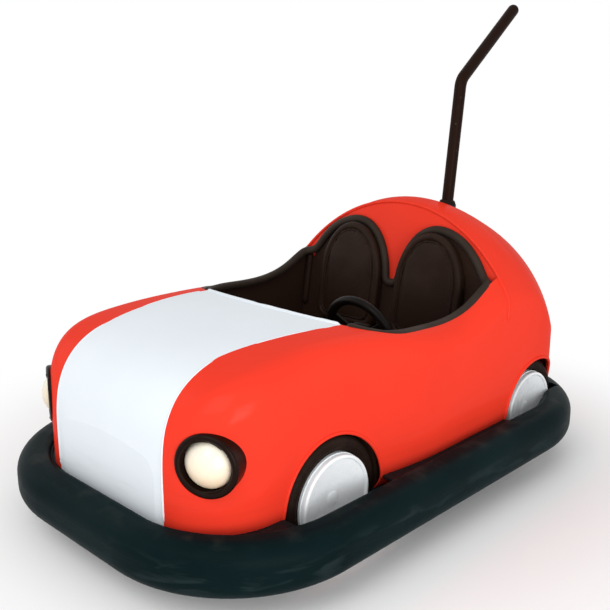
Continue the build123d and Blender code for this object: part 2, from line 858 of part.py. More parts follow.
axle_reach = rear_wheel_face_x - hub_setback
with BuildPart() as rear_axle:
    for side_name, side in sides:
        add(axle_bracket(side, axle_bracket_x, rear_wheel_y, wheel_radius))
    with BuildSketch(Plane(at(-axle_reach, rear_wheel_y, wheel_radius), x_dir=(0, 1, 0), z_dir=(1, 0, 0))):
        Circle(axle_radius)
    extrude(amount=2 * axle_reach)
save(rear_axle, "rear_axle")

stub_reach = front_wheel_face_x - hub_setback
for side_name, side in sides:
    with BuildPart() as stub_axle:
        add(axle_bracket(side, stub_bracket_x, front_wheel_y, front_axle_z))
        with BuildSketch(outward(at(side * stub_bracket_x, front_wheel_y, front_axle_z), side)):
            Circle(axle_radius)
        extrude(amount=stub_reach - stub_bracket_x)
    save(stub_axle, f"front_{side_name}_stub_axle")

# ---------------------------------------------------------------- lamps
for side_name, side in sides:
    lamp_plane = lamp_places[side]
    profile_plane = Plane(lamp_plane.origin, x_dir=(0, 0, 1), z_dir=lamp_plane.x_dir)
    lamp_axis = Axis(lamp_plane.origin, lamp_plane.z_dir)
    with BuildPart() as bezel:
        with BuildSketch(profile_plane):
            with BuildLine():
                Polyline(
                    (0, -lamp_depth),
                    (bezel_radius, -lamp_depth),
                    (bezel_radius, bezel_proud - bezel_rounding),
                )
                ThreePointArc(
                    (bezel_radius, bezel_proud - bezel_rounding),
                    (bezel_radius - bezel_rounding, bezel_proud),
                    (bezel_radius - 2 * bezel_rounding, bezel_proud - bezel_rounding),
                )
                Polyline(
                    (bezel_radius - 2 * bezel_rounding, bezel_proud - bezel_rounding),
                    (lens_radius + running_clearance, bezel_proud - bezel_rounding),
                    (lens_radius + running_clearance, lens_seat),
                    (lens_radius - lens_ledge, lens_seat),
                    (lens_radius - lens_ledge, -lamp_depth + lamp_wall),
                    (0, -lamp_depth + lamp_wall),
                    (0, -lamp_depth),
                )
            make_face()
        revolve(axis=lamp_axis)
    save(bezel, f"{side_name}_headlamp_bezel")
    with BuildPart() as lens:
        with BuildSketch(profile_plane):
            with BuildLine():
                Polyline(
                    (-lens_radius, lens_seat + lens_edge),
                    (-lens_radius, lens_seat),
                    (lens_radius, lens_seat),
                    (lens_radius, lens_seat + lens_edge),
                )
                ThreePointArc(
                    (lens_radius, lens_seat + lens_edge),
                    (0, lens_seat + lens_edge + lens_bulge),
                    (-lens_radius, lens_seat + lens_edge),
                )
            make_face()
            keep_one_side(lens_radius)
        revolve(axis=lamp_axis)
    save(lens, f"{side_name}_headlamp_lens")

# ---------------------------------------------------------------- contact pole
with BuildPart() as pole_collar:
    with BuildSketch(collar_plane.offset(-collar_height)):
        Circle(collar_radius)
    extrude(amount=collar_height + collar_proud)
    with BuildSketch(collar_plane.offset(-pole_seat_depth)):
        Circle(pole_radius + running_clearance)
    extrude(amount=pole_seat_depth + collar_proud, mode=Mode.SUBTRACT)
save(pole_collar, "pole_collar")

pole_start = collar_plane.offset(-pole_seat_depth).origin
with BuildPart() as contact_pole:
    with BuildLine() as pole_path:
        FilletPolyline(
            pole_start,
            at(0, pole_bend_y, pole_bend_z),
            at(0, pole_tip_y, pole_tip_z),
            radius=pole_bend_radius,
        )
    with BuildSketch(Plane(pole_start, x_dir=(1, 0, 0), z_dir=collar_plane.z_dir)):
        Circle(pole_radius)
        Circle(pole_radius - pole_wall, mode=Mode.SUBTRACT)
    sweep(path=pole_path.line)
save(contact_pole, "contact_pole")

tip_direction = Vector(0, pole_tip_y - pole_bend_y, pole_tip_z - pole_bend_z).normalized()
tip_plane = Plane(at(0, pole_tip_y, pole_tip_z), x_dir=(1, 0, 0), z_dir=tip_direction)
with BuildPart() as contact_cap:
    with Locations(tip_plane):
        Sphere(pole_radius, arc_size1=0, align=(Align.CENTER, Align.CENTER, Align.MIN))
    with BuildSketch(tip_plane):
        Circle(pole_radius - pole_wall - running_clearance)
    extrude(amount=-cap_spigot)
save(contact_cap, "contact_cap")
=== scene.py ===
# %% [markdown]
# # Finishing a fairground bumper car
# The car's solid pieces, axles and joints are settled before Blender starts, and they come in as a fixed
# frame. Blender adds what a solid lacks: gelcoat, rubber, vinyl and steel, the upholstery, and the small
# trim. Trim is placed by measuring the solids, so that a small change to them moves the trim as well.

# %% Load the frame
import json
import math

import bmesh
import bpy
from mathutils import Matrix, Vector
from mathutils.bvhtree import BVHTree


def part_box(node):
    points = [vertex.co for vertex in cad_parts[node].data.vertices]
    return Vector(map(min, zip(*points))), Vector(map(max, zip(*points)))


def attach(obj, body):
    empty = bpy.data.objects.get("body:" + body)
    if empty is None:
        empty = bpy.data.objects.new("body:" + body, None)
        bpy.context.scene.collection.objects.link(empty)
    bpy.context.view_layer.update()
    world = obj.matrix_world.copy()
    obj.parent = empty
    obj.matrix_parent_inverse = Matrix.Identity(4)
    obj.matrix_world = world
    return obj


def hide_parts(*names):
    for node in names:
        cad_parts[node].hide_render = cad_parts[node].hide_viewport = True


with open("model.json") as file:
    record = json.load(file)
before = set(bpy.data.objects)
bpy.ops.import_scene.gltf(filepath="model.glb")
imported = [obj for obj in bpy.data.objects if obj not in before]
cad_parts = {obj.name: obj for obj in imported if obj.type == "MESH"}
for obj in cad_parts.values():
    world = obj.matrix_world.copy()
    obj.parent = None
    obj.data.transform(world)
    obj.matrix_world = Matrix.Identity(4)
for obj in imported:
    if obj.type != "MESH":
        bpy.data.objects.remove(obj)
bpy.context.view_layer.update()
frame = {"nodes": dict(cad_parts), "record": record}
nodes = frame["nodes"]


def rounded(vector):
    """A point or a size in metres, short enough to print."""
    return tuple(round(v, 3) for v in vector)


# %% [markdown]
# ## Camera
# A low three-quarter view from the front left shows the nose, one side and the cockpit together.
# A long lens would flatten the car, and a wide one would swell the near wheel, so about 51 mm is used.

# %% Camera
camera = bpy.data.objects.new("camera", bpy.data.cameras.new("camera"))
bpy.context.scene.collection.objects.link(camera)
bpy.context.scene.camera = camera
camera_place = Vector((1.902, -2.1035, 1.316))
looks_at = Vector((-0.459, 0.3235, 0.428))
camera.data.lens = 50.87
camera.location = camera_place
camera.rotation_euler = (looks_at - camera_place).to_track_quat("-Z", "Y").to_euler()
print("camera is", round((looks_at - camera_place).length, 2), "m from what it looks at")

# %% [markdown]
# ## World
# Gelcoat mirrors whatever stands round it, so the studio round the car is plain white. That much white
# would also flatten the form if it lit the car at full strength. So the world is full white only to the
# eye, to reflections and through clear things, and gives about two thirds as much as a light.

# %% World
scene = bpy.context.scene
scene.view_settings.view_transform = "Standard"
ambient_level = 0.66
white = (1, 1, 1, 1)
world = bpy.data.worlds.new("studio")
scene.world = world
world.use_nodes = True
sky = world.node_tree
ambient = sky.nodes["Background"]
ambient.inputs["Color"].default_value = white
ambient.inputs["Strength"].default_value = ambient_level
white_sky = sky.nodes.new("ShaderNodeBackground")
white_sky.inputs["Color"].default_value = white
rays = sky.nodes.new("ShaderNodeLightPath")
seen = rays.outputs["Is Camera Ray"]
for kind in ("Is Glossy Ray", "Is Transmission Ray"):
    either = sky.nodes.new("ShaderNodeMath")
    either.operation = "MAXIMUM"
    sky.links.new(seen, either.inputs[0])
    sky.links.new(rays.outputs[kind], either.inputs[1])
    seen = either.outputs[0]
sky_mix = sky.nodes.new("ShaderNodeMixShader")
sky.links.new(seen, sky_mix.inputs[0])
sky.links.new(ambient.outputs[0], sky_mix.inputs[1])
sky.links.new(white_sky.outputs[0], sky_mix.inputs[2])
sky.links.new(sky_mix.outputs[0], sky.nodes["World Output"].inputs["Surface"])
print("ambient light:", ambient_level)

# %% [markdown]
# ## Lamps of the studio
# Small lamps would draw hard streaks along the crowned panels, so these are soft boxes one to three metres
# wide. The key and the side lamp model the form, and the others lift the shadows on the nose, the far side
# and the tail.

# %% Lamps of the studio
# name, place, width of the lamp in metres, watts
lamps = (
    ("key", (1.0, -3.0, 3.0), 2.2, 36),
    ("side", (3.3, -1.5, 0.95), 1.9, 37),
    ("fill", (-3.4, -2.2, 2.4), 3.0, 21),
    ("back", (-0.6, 3.6, 3.0), 2.6, 12),
    ("low", (2.5, -1.5, 0.45), 1.0, 10),
)
lamp_aim = Vector((0, 0, 0.4))
for name, spot, width, watts in lamps:
    lamp = bpy.data.objects.new(name, bpy.data.lights.new(name, "AREA"))
    scene.collection.objects.link(lamp)
    lamp.location = spot
    lamp.rotation_euler = (lamp_aim - lamp.location).to_track_quat("-Z", "Y").to_euler()
    lamp.data.size = width
    lamp.data.energy = watts
print("lamps:", len(lamps))

# %% [markdown]
# ## Floor
# The floor catches the car's shadow. An ordinary plane would end in a hard horizon. So its pale paint turns
# into a plain white glow with the distance from the car's middle, and melts into the world.

# %% Floor
floor_half = 14
paint_ends = 0.75
glow_starts = 1.75
bpy.ops.mesh.primitive_plane_add(size=2 * floor_half, location=(0, 0, 0))
floor = bpy.context.object
floor.name = "studio_floor"
floor_material = bpy.data.materials.new("studio_floor")
floor_material.use_nodes = True
floor_tree = floor_material.node_tree
paint = floor_tree.nodes["Principled BSDF"]
paint.inputs["Base Color"].default_value = (0.94, 0.94, 0.94, 1)
paint.inputs["Roughness"].default_value = 0.9
paint.inputs["Specular IOR Level"].default_value = 0.1
glow = floor_tree.nodes.new("ShaderNodeEmission")
where = floor_tree.nodes.new("ShaderNodeTexCoord")
distance = floor_tree.nodes.new("ShaderNodeVectorMath")
distance.operation = "LENGTH"
fade = floor_tree.nodes.new("ShaderNodeMapRange")
fade.interpolation_type = "SMOOTHSTEP"
fade.inputs["From Min"].default_value = paint_ends
fade.inputs["From Max"].default_value = glow_starts
floor_mix = floor_tree.nodes.new("ShaderNodeMixShader")
floor_tree.links.new(where.outputs["Object"], distance.inputs[0])
floor_tree.links.new(distance.outputs["Value"], fade.inputs["Value"])
floor_tree.links.new(fade.outputs["Result"], floor_mix.inputs[0])
floor_tree.links.new(paint.outputs[0], floor_mix.inputs[1])
floor_tree.links.new(glow.outputs[0], floor_mix.inputs[2])
floor_tree.links.new(floor_mix.outputs[0], floor_tree.nodes["Material Output"].inputs["Surface"])
floor.data.materials.append(floor_material)
print("floor:", 2 * floor_half, "m wide, all glow from", glow_starts, "m out")

# %% [markdown]
# ## A recipe book for finishes
# Each finish below is a few layers: a colour that varies a little, a roughness that varies, and a bump.
# Wired by hand, a finish is some forty lines that all look alike. The helper keeps the wiring out of sight,
# so that a finish reads as a recipe. It works from object coordinates, which on this car are metres from
# the floor, so a grain has its true size.

# %% The recipe helper
# A Mix node lists sockets for numbers, for vectors and then for colours. These are the ones for colours.
MIX_COLOURS_IN = (6, 7)
MIX_COLOUR_OUT = 2


class Finish:
    """One material. Its methods add layers, and most return a socket that another layer can use."""

    def __init__(self, name, roughness, **fixed):
        self.material = bpy.data.materials.new(name)
        self.material.use_nodes = True
        self.tree = self.material.node_tree
        self.shader = self.tree.nodes["Principled BSDF"]
        self.shader.inputs["Roughness"].default_value = roughness
        for socket, value in fixed.items():
            self.shader.inputs[socket.replace("_", " ")].default_value = value
        self.place = self.tree.nodes.new("ShaderNodeTexCoord").outputs["Object"]

    def add(self, kind, links=(), **values):
        """A node with its properties set, and (socket, source) pairs linked in."""
        node = self.tree.nodes.new(kind)
        for key, value in values.items():
            if hasattr(node, key):
                setattr(node, key, value)
            else:
                node.inputs[key.replace("_", " ")].default_value = value
        for socket, source in links:
            self.tree.links.new(source, node.inputs[socket])
        return node

    def noise(self, scale, detail=3.0, stretch=None, distortion=0.0):
        """Cloudy noise, from 0 to 1, in features of about 1/scale metres. A small stretch draws it out."""
        vector = self.place
        if stretch:
            vector = self.add("ShaderNodeMapping", [("Vector", self.place)], Scale=stretch).outputs[0]
        shape = {"Scale": scale, "Detail": detail, "Distortion": distortion}
        return self.add("ShaderNodeTexNoise", [("Vector", vector)], **shape).outputs["Fac"]

    def cells(self, scale, feature="F1"):
        """Cells such as those in hide or cast metal, as a distance."""
        node = self.add("ShaderNodeTexVoronoi", [("Vector", self.place)], feature=feature, Scale=scale)
        return node.outputs["Distance"]

    def between(self, source, low, high, to_low=0.0, to_high=1.0):
        """Stretches the part of a layer from low to high over to_low to to_high, and clips the rest."""
        ends = {"From_Min": low, "From_Max": high, "To_Min": to_low, "To_Max": to_high}
        return self.add("ShaderNodeMapRange", [("Value", source)], **ends).outputs["Result"]

    def height(self, low, high):
        """0 at one height above the floor and 1 at another, in metres."""
        axes = self.add("ShaderNodeSeparateXYZ", [(0, self.place)])
        return self.between(axes.outputs["Z"], low, high)

    def maths(self, operation, first, second):
        """Arithmetic on two layers, or on a layer and a number."""
        node = self.add("ShaderNodeMath", operation=operation)
        for index, value in enumerate((first, second)):
            if isinstance(value, (int, float)):
                node.inputs[index].default_value = value
            else:
                self.tree.links.new(value, node.inputs[index])
        return node.outputs[0]

    def mix(self, share, first, second):
        """A colour between two colours. Each is a linear (r, g, b) or a layer."""
        node = self.add("ShaderNodeMix", [(0, share)], data_type="RGBA")
        for index, value in zip(MIX_COLOURS_IN, (first, second)):
            if isinstance(value, tuple):
                node.inputs[index].default_value = (*value, 1)
            else:
                self.tree.links.new(value, node.inputs[index])
        return node.outputs[MIX_COLOUR_OUT]

    def colour(self, source):
        """Uses a layer as the base colour."""
        self.tree.links.new(source, self.shader.inputs["Base Color"])

    def rough(self, source):
        """Uses a layer as the roughness."""
        self.tree.links.new(source, self.shader.inputs["Roughness"])

    def bump(self, *layers):
        """Raises the surface by each (layer, height in millimetres) in turn."""
        normal = None
        for source, millimetres in layers:
            links = [("Height", source)] + ([("Normal", normal)] if normal else [])
            normal = self.add("ShaderNodeBump", links, Distance=millimetres / 1000, Strength=1.0).outputs[0]
        self.tree.links.new(normal, self.shader.inputs["Normal"])


print("recipe helper ready")

# %% [markdown]
# ## Gelcoat
# The body is glass fibre with a polished coloured gelcoat. It isn't a perfect mirror: the mould leaves a
# faint ripple, the polish leaves swirls, and feet and rubber leave dull scuffs along the skirt. Plain
# glossy paint would look like a toy. A thin clear coat over a varied base gives the soft, deep shine, and
# the scuffs only change roughness and a little colour.


# %% Gelcoat
def gelcoat(name, main, deep, scuff):
    """Polished gelcoat: a main colour that drifts to a deeper one, and dull marks low on the skirt."""
    finish = Finish(name, 0.36, Coat_Weight=0.1, Coat_Roughness=0.12, Specular_IOR_Level=0.0)
    drift = finish.between(finish.noise(2.1, 4), 0.42, 0.72)
    body = finish.mix(finish.maths("MULTIPLY", drift, 0.35), main, deep)
    low_down = finish.height(0.36, 0.13)
    streaks = finish.between(finish.noise(9, 5, stretch=(1, 0.25, 6)), 0.52, 0.7)
    marks = finish.maths("MULTIPLY", low_down, streaks)
    specks = finish.between(finish.noise(320, 2), 0.66, 0.72, 0, 0.12)
    low_specks = finish.maths("MULTIPLY", specks, low_down)
    worn = finish.maths("MAXIMUM", finish.maths("MULTIPLY", marks, 0.2), low_specks)
    finish.colour(finish.mix(worn, body, scuff))
    swirls = finish.between(finish.noise(26, 6, distortion=1.4), 0.35, 0.7, 0.2, 0.34)
    finish.rough(finish.maths("ADD", swirls, finish.maths("MULTIPLY", marks, 0.25)))
    finish.bump((finish.noise(5.5, 2), 0.9), (finish.noise(420, 1), 0.015), (finish.noise(60, 3), 0.02))
    return finish.material


red_gelcoat = gelcoat("red_gelcoat", (0.84, 0.045, 0.022), (0.66, 0.03, 0.016), (0.32, 0.03, 0.022))
white_gelcoat = gelcoat("white_gelcoat", (0.80, 0.85, 0.89), (0.70, 0.745, 0.79), (0.46, 0.46, 0.45))
print("gelcoats:", red_gelcoat.name, white_gelcoat.name)

# %% [markdown]
# ## Rubber
# The ring is one thick moulding that meets every other car on the floor. Its outermost band is polished grey
# by knocks, its top stays dark, and dust settles on it. The tyres are a browner, finer rubber.
# Knocks and dust each gather at one height, so they are found by height, and not painted by hand.


# %% Rubber
def ring_rubber():
    """Moulded black rubber with a blue-green cast, knocked grey along its widest band."""
    finish = Finish("bumper_ring_rubber", 0.5, Specular_IOR_Level=0.025)
    tone = finish.between(finish.noise(3.0, 4), 0.35, 0.7)
    body = finish.mix(tone, (0.0016, 0.0066, 0.0076), (0.0036, 0.0118, 0.0132))
    band = finish.maths("MULTIPLY", finish.height(0.085, 0.12), finish.height(0.2, 0.16))
    rubs = finish.between(finish.noise(7, 7, stretch=(1, 1, 5), distortion=0.6), 0.54, 0.66)
    knocks = finish.maths("MULTIPLY", band, rubs)
    settled = finish.between(finish.noise(14, 5), 0.5, 0.8)
    dust = finish.maths("MULTIPLY", finish.height(0.215, 0.229), settled)
    knocked = finish.mix(finish.maths("MULTIPLY", knocks, 0.5), body, (0.02, 0.032, 0.035))
    finish.colour(finish.mix(finish.maths("MULTIPLY", dust, 0.22), knocked, (0.12, 0.115, 0.1)))
    grain = finish.cells(260)
    dull = finish.between(grain, 0, 0.6, 0.34, 0.46)
    finish.rough(finish.maths("ADD", dull, finish.maths("MULTIPLY", knocks, 0.14)))
    scratches = finish.between(finish.noise(30, 4, stretch=(1, 1, 9)), 0.6, 0.68)
    cuts = finish.maths("MULTIPLY", scratches, band)
    finish.bump((finish.noise(11, 3), 0.35), (grain, 0.12), (cuts, -0.25))
    return finish.material


def tyre_rubber():
    """Brown-black rubber with fine mould grain and a dusty bloom."""
    finish = Finish("side_tyre_rubber", 0.6, Specular_IOR_Level=0.07)
    bloom = finish.between(finish.noise(18, 5), 0.45, 0.75, 0, 0.5)
    finish.colour(finish.mix(bloom, (0.0125, 0.0062, 0.0042), (0.027, 0.015, 0.0105)))
    finish.rough(finish.between(finish.noise(70, 4), 0.3, 0.7, 0.5, 0.72))
    finish.bump((finish.cells(420), 0.08), (finish.noise(24, 3), 0.3))
    return finish.material


rubber_of_ring = ring_rubber()
rubber_of_tyres = tyre_rubber()
print("rubbers:", rubber_of_ring.name, rubber_of_tyres.name)

# %% [markdown]
# ## Vinyl and lining
# The seats are covered in expanded vinyl: a leather-like grain of small cells, with fine creases and a low
# sheen. The cockpit lining is a hard moulded sheet with a coarser, even grain, scuffed by shoes low down.
# Both grains are cell patterns used as bump, because real cells at this size would be millions of faces.


# %% Vinyl and lining
def vinyl(name, main, worn, cell=300):
    """Expanded vinyl: pebbled grain, fine creases, and a shine that rises where people slide over it."""
    finish = Finish(name, 0.5, Sheen_Weight=0.015, Sheen_Roughness=0.4, Specular_IOR_Level=0.09)
    rubbed = finish.between(finish.noise(6, 4), 0.46, 0.74)
    finish.colour(finish.mix(rubbed, main, worn))
    pebbles = finish.cells(cell, feature="SMOOTH_F1")
    creases = finish.between(finish.noise(42, 5, distortion=2.2), 0.48, 0.52)
    dull = finish.between(pebbles, 0, 0.7, 0.42, 0.6)
    finish.rough(finish.maths("SUBTRACT", dull, finish.maths("MULTIPLY", rubbed, 0.1)))
    finish.bump((pebbles, 0.22), (creases, 0.06), (finish.noise(9, 2), 0.9))
    return finish.material


def lining():
    """Hard grained sheet on the cockpit's walls."""
    finish = Finish("moulded_lining", 0.6, Specular_IOR_Level=0.07)
    scuffs = finish.between(finish.noise(12, 6), 0.55, 0.7)
    shoe_marks = finish.maths("MULTIPLY", finish.height(0.42, 0.15), scuffs)
    tone = finish.mix(finish.noise(4, 3), (0.0245, 0.0115, 0.0075), (0.034, 0.0175, 0.012))
    finish.colour(finish.mix(finish.maths("MULTIPLY", shoe_marks, 0.4), tone, (0.08, 0.065, 0.055)))
    finish.rough(finish.between(finish.noise(35, 4), 0.3, 0.7, 0.5, 0.7))
    finish.bump((finish.cells(190), 0.35), (finish.noise(7, 2), 0.7))
    return finish.material


seat_vinyl = vinyl("bench_vinyl", (0.0155, 0.0066, 0.0034), (0.024, 0.0115, 0.0068))
roll_vinyl = vinyl("roll_vinyl", (0.0275, 0.0185, 0.0135), (0.04, 0.028, 0.021), cell=340)
cockpit_lining = lining()
print("coverings:", seat_vinyl.name, roll_vinyl.name, cockpit_lining.name)

# %% [markdown]
# ## Metals and enamels
# Chassis parts are brush-painted steel with chips and oily dust. Axles are bright drawn steel, whose fine
# marks run along the axle, here as noise drawn out in that direction. Wheels, pole and controls have thicker
# enamel or hard plastic. One recipe serves them all, because they differ only in colour, gloss, chips, orange
# peel and shine.


# %% Metals and enamels
def enamel(name, main, chipped, gloss, chips, ripple, shine):
    """Thick enamel, with a little orange peel and, where asked, chips down to primer."""
    finish = Finish(name, gloss, Coat_Weight=0.4 * shine, Coat_Roughness=0.15, Specular_IOR_Level=shine)
    dirt = finish.between(finish.noise(13, 6), 0.5, 0.78, 0, 0.55)
    tone = finish.mix(finish.maths("MULTIPLY", dirt, 0.35), main, tuple(0.55 * c for c in main))
    spots = finish.between(finish.noise(55, 5), 0.74 - 0.12 * chips, 0.76 - 0.12 * chips)
    finish.colour(finish.mix(finish.maths("MULTIPLY", spots, chips), tone, chipped))
    polish = finish.between(finish.noise(31, 4), 0.3, 0.7, gloss - 0.07, gloss + 0.1)
    finish.rough(finish.maths("ADD", polish, finish.maths("MULTIPLY", spots, 0.2)))
    finish.bump((finish.noise(180, 2), 0.05), (finish.noise(12, 3), ripple), (spots, -0.08 * chips))
    return finish.material


def steel(name, tone, stretch):
    """Drawn steel, with its fine marks stretched out along one direction."""
    finish = Finish(name, 0.35, Metallic=1.0)
    marks = finish.noise(90, 4, stretch=stretch)
    haze = finish.between(finish.noise(8, 4), 0.4, 0.75)
    finish.colour(finish.mix(haze, tone, tuple(0.62 * c for c in tone)))
    finish.rough(finish.between(marks, 0.3, 0.7, 0.24, 0.46))
    finish.bump((marks, 0.03))
    return finish.material


def hammered(name, main):
    """Hammered grey enamel, as on a motor's housing."""
    finish = Finish(name, 0.4, Metallic=0.35, Coat_Weight=0.3, Coat_Roughness=0.25)
    dimples = finish.cells(130, feature="SMOOTH_F1")
    finish.colour(finish.mix(finish.between(dimples, 0.1, 0.7), main, tuple(1.7 * c for c in main)))
    finish.rough(finish.between(dimples, 0, 0.8, 0.32, 0.5))
    finish.bump((dimples, 0.3))
    return finish.material


print("metal and enamel recipes ready")

# %% Mix the metals and enamels
# main colour, colour under a chip, gloss, chips, orange peel, shine
enamel_recipes = {
    "chassis_enamel": ((0.0085, 0.0105, 0.0115), (0.06, 0.028, 0.015), 0.5, 0.7, 0.25, 0.08),
    "wheel_enamel": ((0.90, 0.93, 0.95), (0.4, 0.38, 0.36), 0.28, 0.15, 0.1, 0.3),
    "pole_enamel": ((0.0165, 0.0072, 0.0045), (0.1, 0.09, 0.085), 0.36, 0.35, 0.1, 0.03),
    "bezel_plastic": ((0.0095, 0.0034, 0.0018), (0.03, 0.02, 0.015), 0.3, 0.0, 0.12, 0.06),
    "grip_plastic": ((0.0038, 0.0022, 0.0016), (0.02, 0.015, 0.012), 0.42, 0.0, 0.15, 0.08),
}
enamels = {name: enamel(name, *recipe) for name, recipe in enamel_recipes.items()}
plain_steel = steel("plain_steel", (0.46, 0.46, 0.47), (0.08, 1, 1))
motor_enamel = hammered("motor_enamel", (0.055, 0.062, 0.07))
print("enamels:", ", ".join(enamels), "metals:", plain_steel.name, motor_enamel.name)

# %% [markdown]
# ## Lamp glass
# The lamps have opal diffusers: a milky cream plastic that glows a little inside when light falls on it.
# Clear glass would need a bulb and a reflector behind it. Light scattered under the surface gives the milky
# depth, and fine flutes on the inside break up the highlight.


# %% Lamp glass
def opal():
    """Milky cream diffuser, with painted shade: a deeper, darker cream towards its lower edge."""
    finish = Finish("opal_diffuser", 0.22, Subsurface_Weight=0.25, Subsurface_Radius=(0.02, 0.012, 0.008))
    finish.shader.inputs["Subsurface Scale"].default_value = 0.5
    finish.shader.inputs["Coat Weight"].default_value = 0.15
    # Painted shade: the lens is a pale cream at the top and a deeper, darker cream at the bottom, as if lit
    # from above.
    finish.colour(finish.mix(finish.height(0.335, 0.45), (0.87, 0.67, 0.46), (0.91, 0.85, 0.72)))
    finish.rough(finish.between(finish.noise(40, 4), 0.3, 0.7, 0.16, 0.3))
    flutes = finish.add("ShaderNodeTexWave", [("Vector", finish.place)], Scale=38, Distortion=0.0)
    finish.bump((flutes.outputs["Fac"], 0.12), (finish.noise(22, 3), 0.1))
    return finish.material


lamp_opal = opal()
print("lamp glass ready")

# %% [markdown]
# ## Dress the fixed pieces
# Every solid on the car is painted, moulded or plated as part of a family: all the red mouldings come out
# of one pot. The record names that family as the node's material slot, so the finishes are handed out by
# slot.

# %% Dress the fixed pieces
slot_finish = {
    "bumper_rubber": rubber_of_ring,
    "body_red": red_gelcoat,
    "panel_white": white_gelcoat,
    "chassis_paint": enamels["chassis_enamel"],
    "cockpit_lining": cockpit_lining,
    "seat_vinyl": seat_vinyl,
    "control_black": enamels["grip_plastic"],
    "bare_steel": plain_steel,
    "tyre_rubber": rubber_of_tyres,
    "wheel_white": enamels["wheel_enamel"],
    "motor_paint": motor_enamel,
    "lamp_black": enamels["bezel_plastic"],
    "lamp_opal": lamp_opal,
    "pole_paint": enamels["pole_enamel"],
}


def dress(thing, finish):
    """Puts one finish on every material slot of a piece."""
    if not thing.material_slots:
        thing.data.materials.append(finish)
    for slot in thing.material_slots:
        slot.material = finish


for subpart in frame["record"]["subparts"]:
    dress(nodes[subpart["node"]], slot_finish[subpart["material_slot"]])

# %% [markdown]
# ## Feeling for an edge
# Most trim on the car is a bead, roll or lip that follows an edge of the body. Its line could be typed in as
# numbers, but they would be wrong as soon as the body changed.
# So the edge is felt for: a ray is cast at the body, and its start is moved until the ray just hits.


# %% Feeling for an edge
def joined_surface(*names):
    """A surface to cast rays at, made of several nodes."""
    points, faces = [], []
    for name in names:
        mesh = nodes[name].data
        start = len(points)
        points += [v.co.copy() for v in mesh.vertices]
        faces += [[start + i for i in face.vertices] for face in mesh.polygons]
    return BVHTree.FromPolygons(points, faces)


def hit(surface, origin, direction):
    """Where a ray meets the surface, or None."""
    return surface.ray_cast(Vector(origin), Vector(direction))[0]


def edge_between(surface, start, end, direction, accept, steps=160, halvings=9):
    """The hit nearest to start on the way from start to end. Coarse steps first, then halving."""
    start, end = Vector(start), Vector(end)
    outside = start
    for step in range(1, steps + 1):
        inside = start.lerp(end, step / steps)
        found = hit(surface, inside, direction)
        if found and accept(found):
            break
        outside = inside
    for _ in range(halvings):
        middle = (outside + inside) / 2
        here = hit(surface, middle, direction)
        if here and accept(here):
            inside, found = middle, here
        else:
            outside = middle
    return found


down = (0, 0, -1)
rearwards = (0, 1, 0)
body_surface = joined_surface("bonnet_panel", "left_front_wing", "right_front_wing", "rear_body_shell")
print("body surface ready for rays")

# %% [markdown]
# ## Even, smooth lines
# Felt points lie unevenly, and they jump a little from facet to facet, which would show as kinks in a shiny
# bead. A fitted curve would cut the corners of the cockpit. Even spacing, and a few rounds in which each
# point moves towards its neighbours, are enough, and keep the line on its edge.


# %% Even, smooth lines
def evenly(points, gap, closed=False):
    """The same line with points an even gap apart."""
    points = [Vector(p) for p in points] + ([Vector(points[0])] if closed else [])
    lengths = [0.0]
    for a, b in zip(points, points[1:]):
        lengths.append(lengths[-1] + (b - a).length)
    count = max(int(lengths[-1] / gap), 2)
    out, i = [], 0
    for k in range(count if closed else count + 1):
        want = lengths[-1] * k / count
        while i < len(lengths) - 2 and lengths[i + 1] < want:
            i += 1
        share = (want - lengths[i]) / max(lengths[i + 1] - lengths[i], 1e-9)
        out.append(points[i].lerp(points[i + 1], share))
    return out


def smooth_line(points, rounds, closed=False):
    """Rounds off small steps in a felt edge. The two ends stay put."""
    points = [Vector(p) for p in points]
    for _ in range(rounds):
        last = len(points) - 1
        rounded_off = []
        for i, p in enumerate(points):
            average = (points[i - 1] + 2 * p + points[(i + 1) % len(points)]) / 4
            rounded_off.append(p if not closed and i in (0, last) else average)
        points = rounded_off
    return points


def full_turn(count):
    """Angles spread evenly round a circle."""
    return [2 * math.pi * k / count for k in range(count)]


print("line tools ready")

# %% [markdown]
# ## Tubes and turned pieces
# A bead is a tube along a line. A bevelled curve would make one too, but a mesh looks alike in every view,
# and can be squeezed flat. Bosses, screws and grommets are turned, as on a lathe: a profile of radius and
# height is spun round an axis.


# %% Tubes and turned pieces
def piece_from(work, name, body, finish):
    """A piece of the mesh in hand. It gets its finish and the body that it rides on."""
    bmesh.ops.recalc_face_normals(work, faces=work.faces)
    mesh = bpy.data.meshes.new(name)
    work.to_mesh(mesh)
    work.free()
    mesh.materials.append(finish)
    for face in mesh.polygons:
        face.use_smooth = True
    piece = bpy.data.objects.new(name, mesh)
    scene.collection.objects.link(piece)
    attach(piece, body)
    return piece


def add_tube(work, points, radius, closed=False, sides=10, flatten=1.0, up=(0, 0, 1), tip=0.35):
    """Adds a tube along a line. Flatten squeezes it in the direction nearest up, and tip narrows its ends."""
    rings = []
    count = len(points)
    for i, point in enumerate(points):
        ahead = points[(i + 1) % count] if closed or i < count - 1 else point
        behind = points[i - 1] if closed or i > 0 else point
        along = (ahead - behind).normalized()
        across = along.cross(Vector(up)).normalized()
        rise = across.cross(along).normalized()
        share = 1.0 if closed or 0 < i < count - 1 else tip
        ring = []
        for angle in full_turn(sides):
            offset = across * math.cos(angle) + rise * math.sin(angle) * flatten
            ring.append(work.verts.new(point + offset * radius * share))
        rings.append(ring)
    pairs = list(zip(rings, rings[1:])) + ([(rings[-1], rings[0])] if closed else [])
    for ring, after in pairs:
        for k in range(sides):
            work.faces.new((ring[k], ring[(k + 1) % sides], after[(k + 1) % sides], after[k]))
    if not closed:
        work.faces.new(rings[0][::-1])
        work.faces.new(rings[-1])


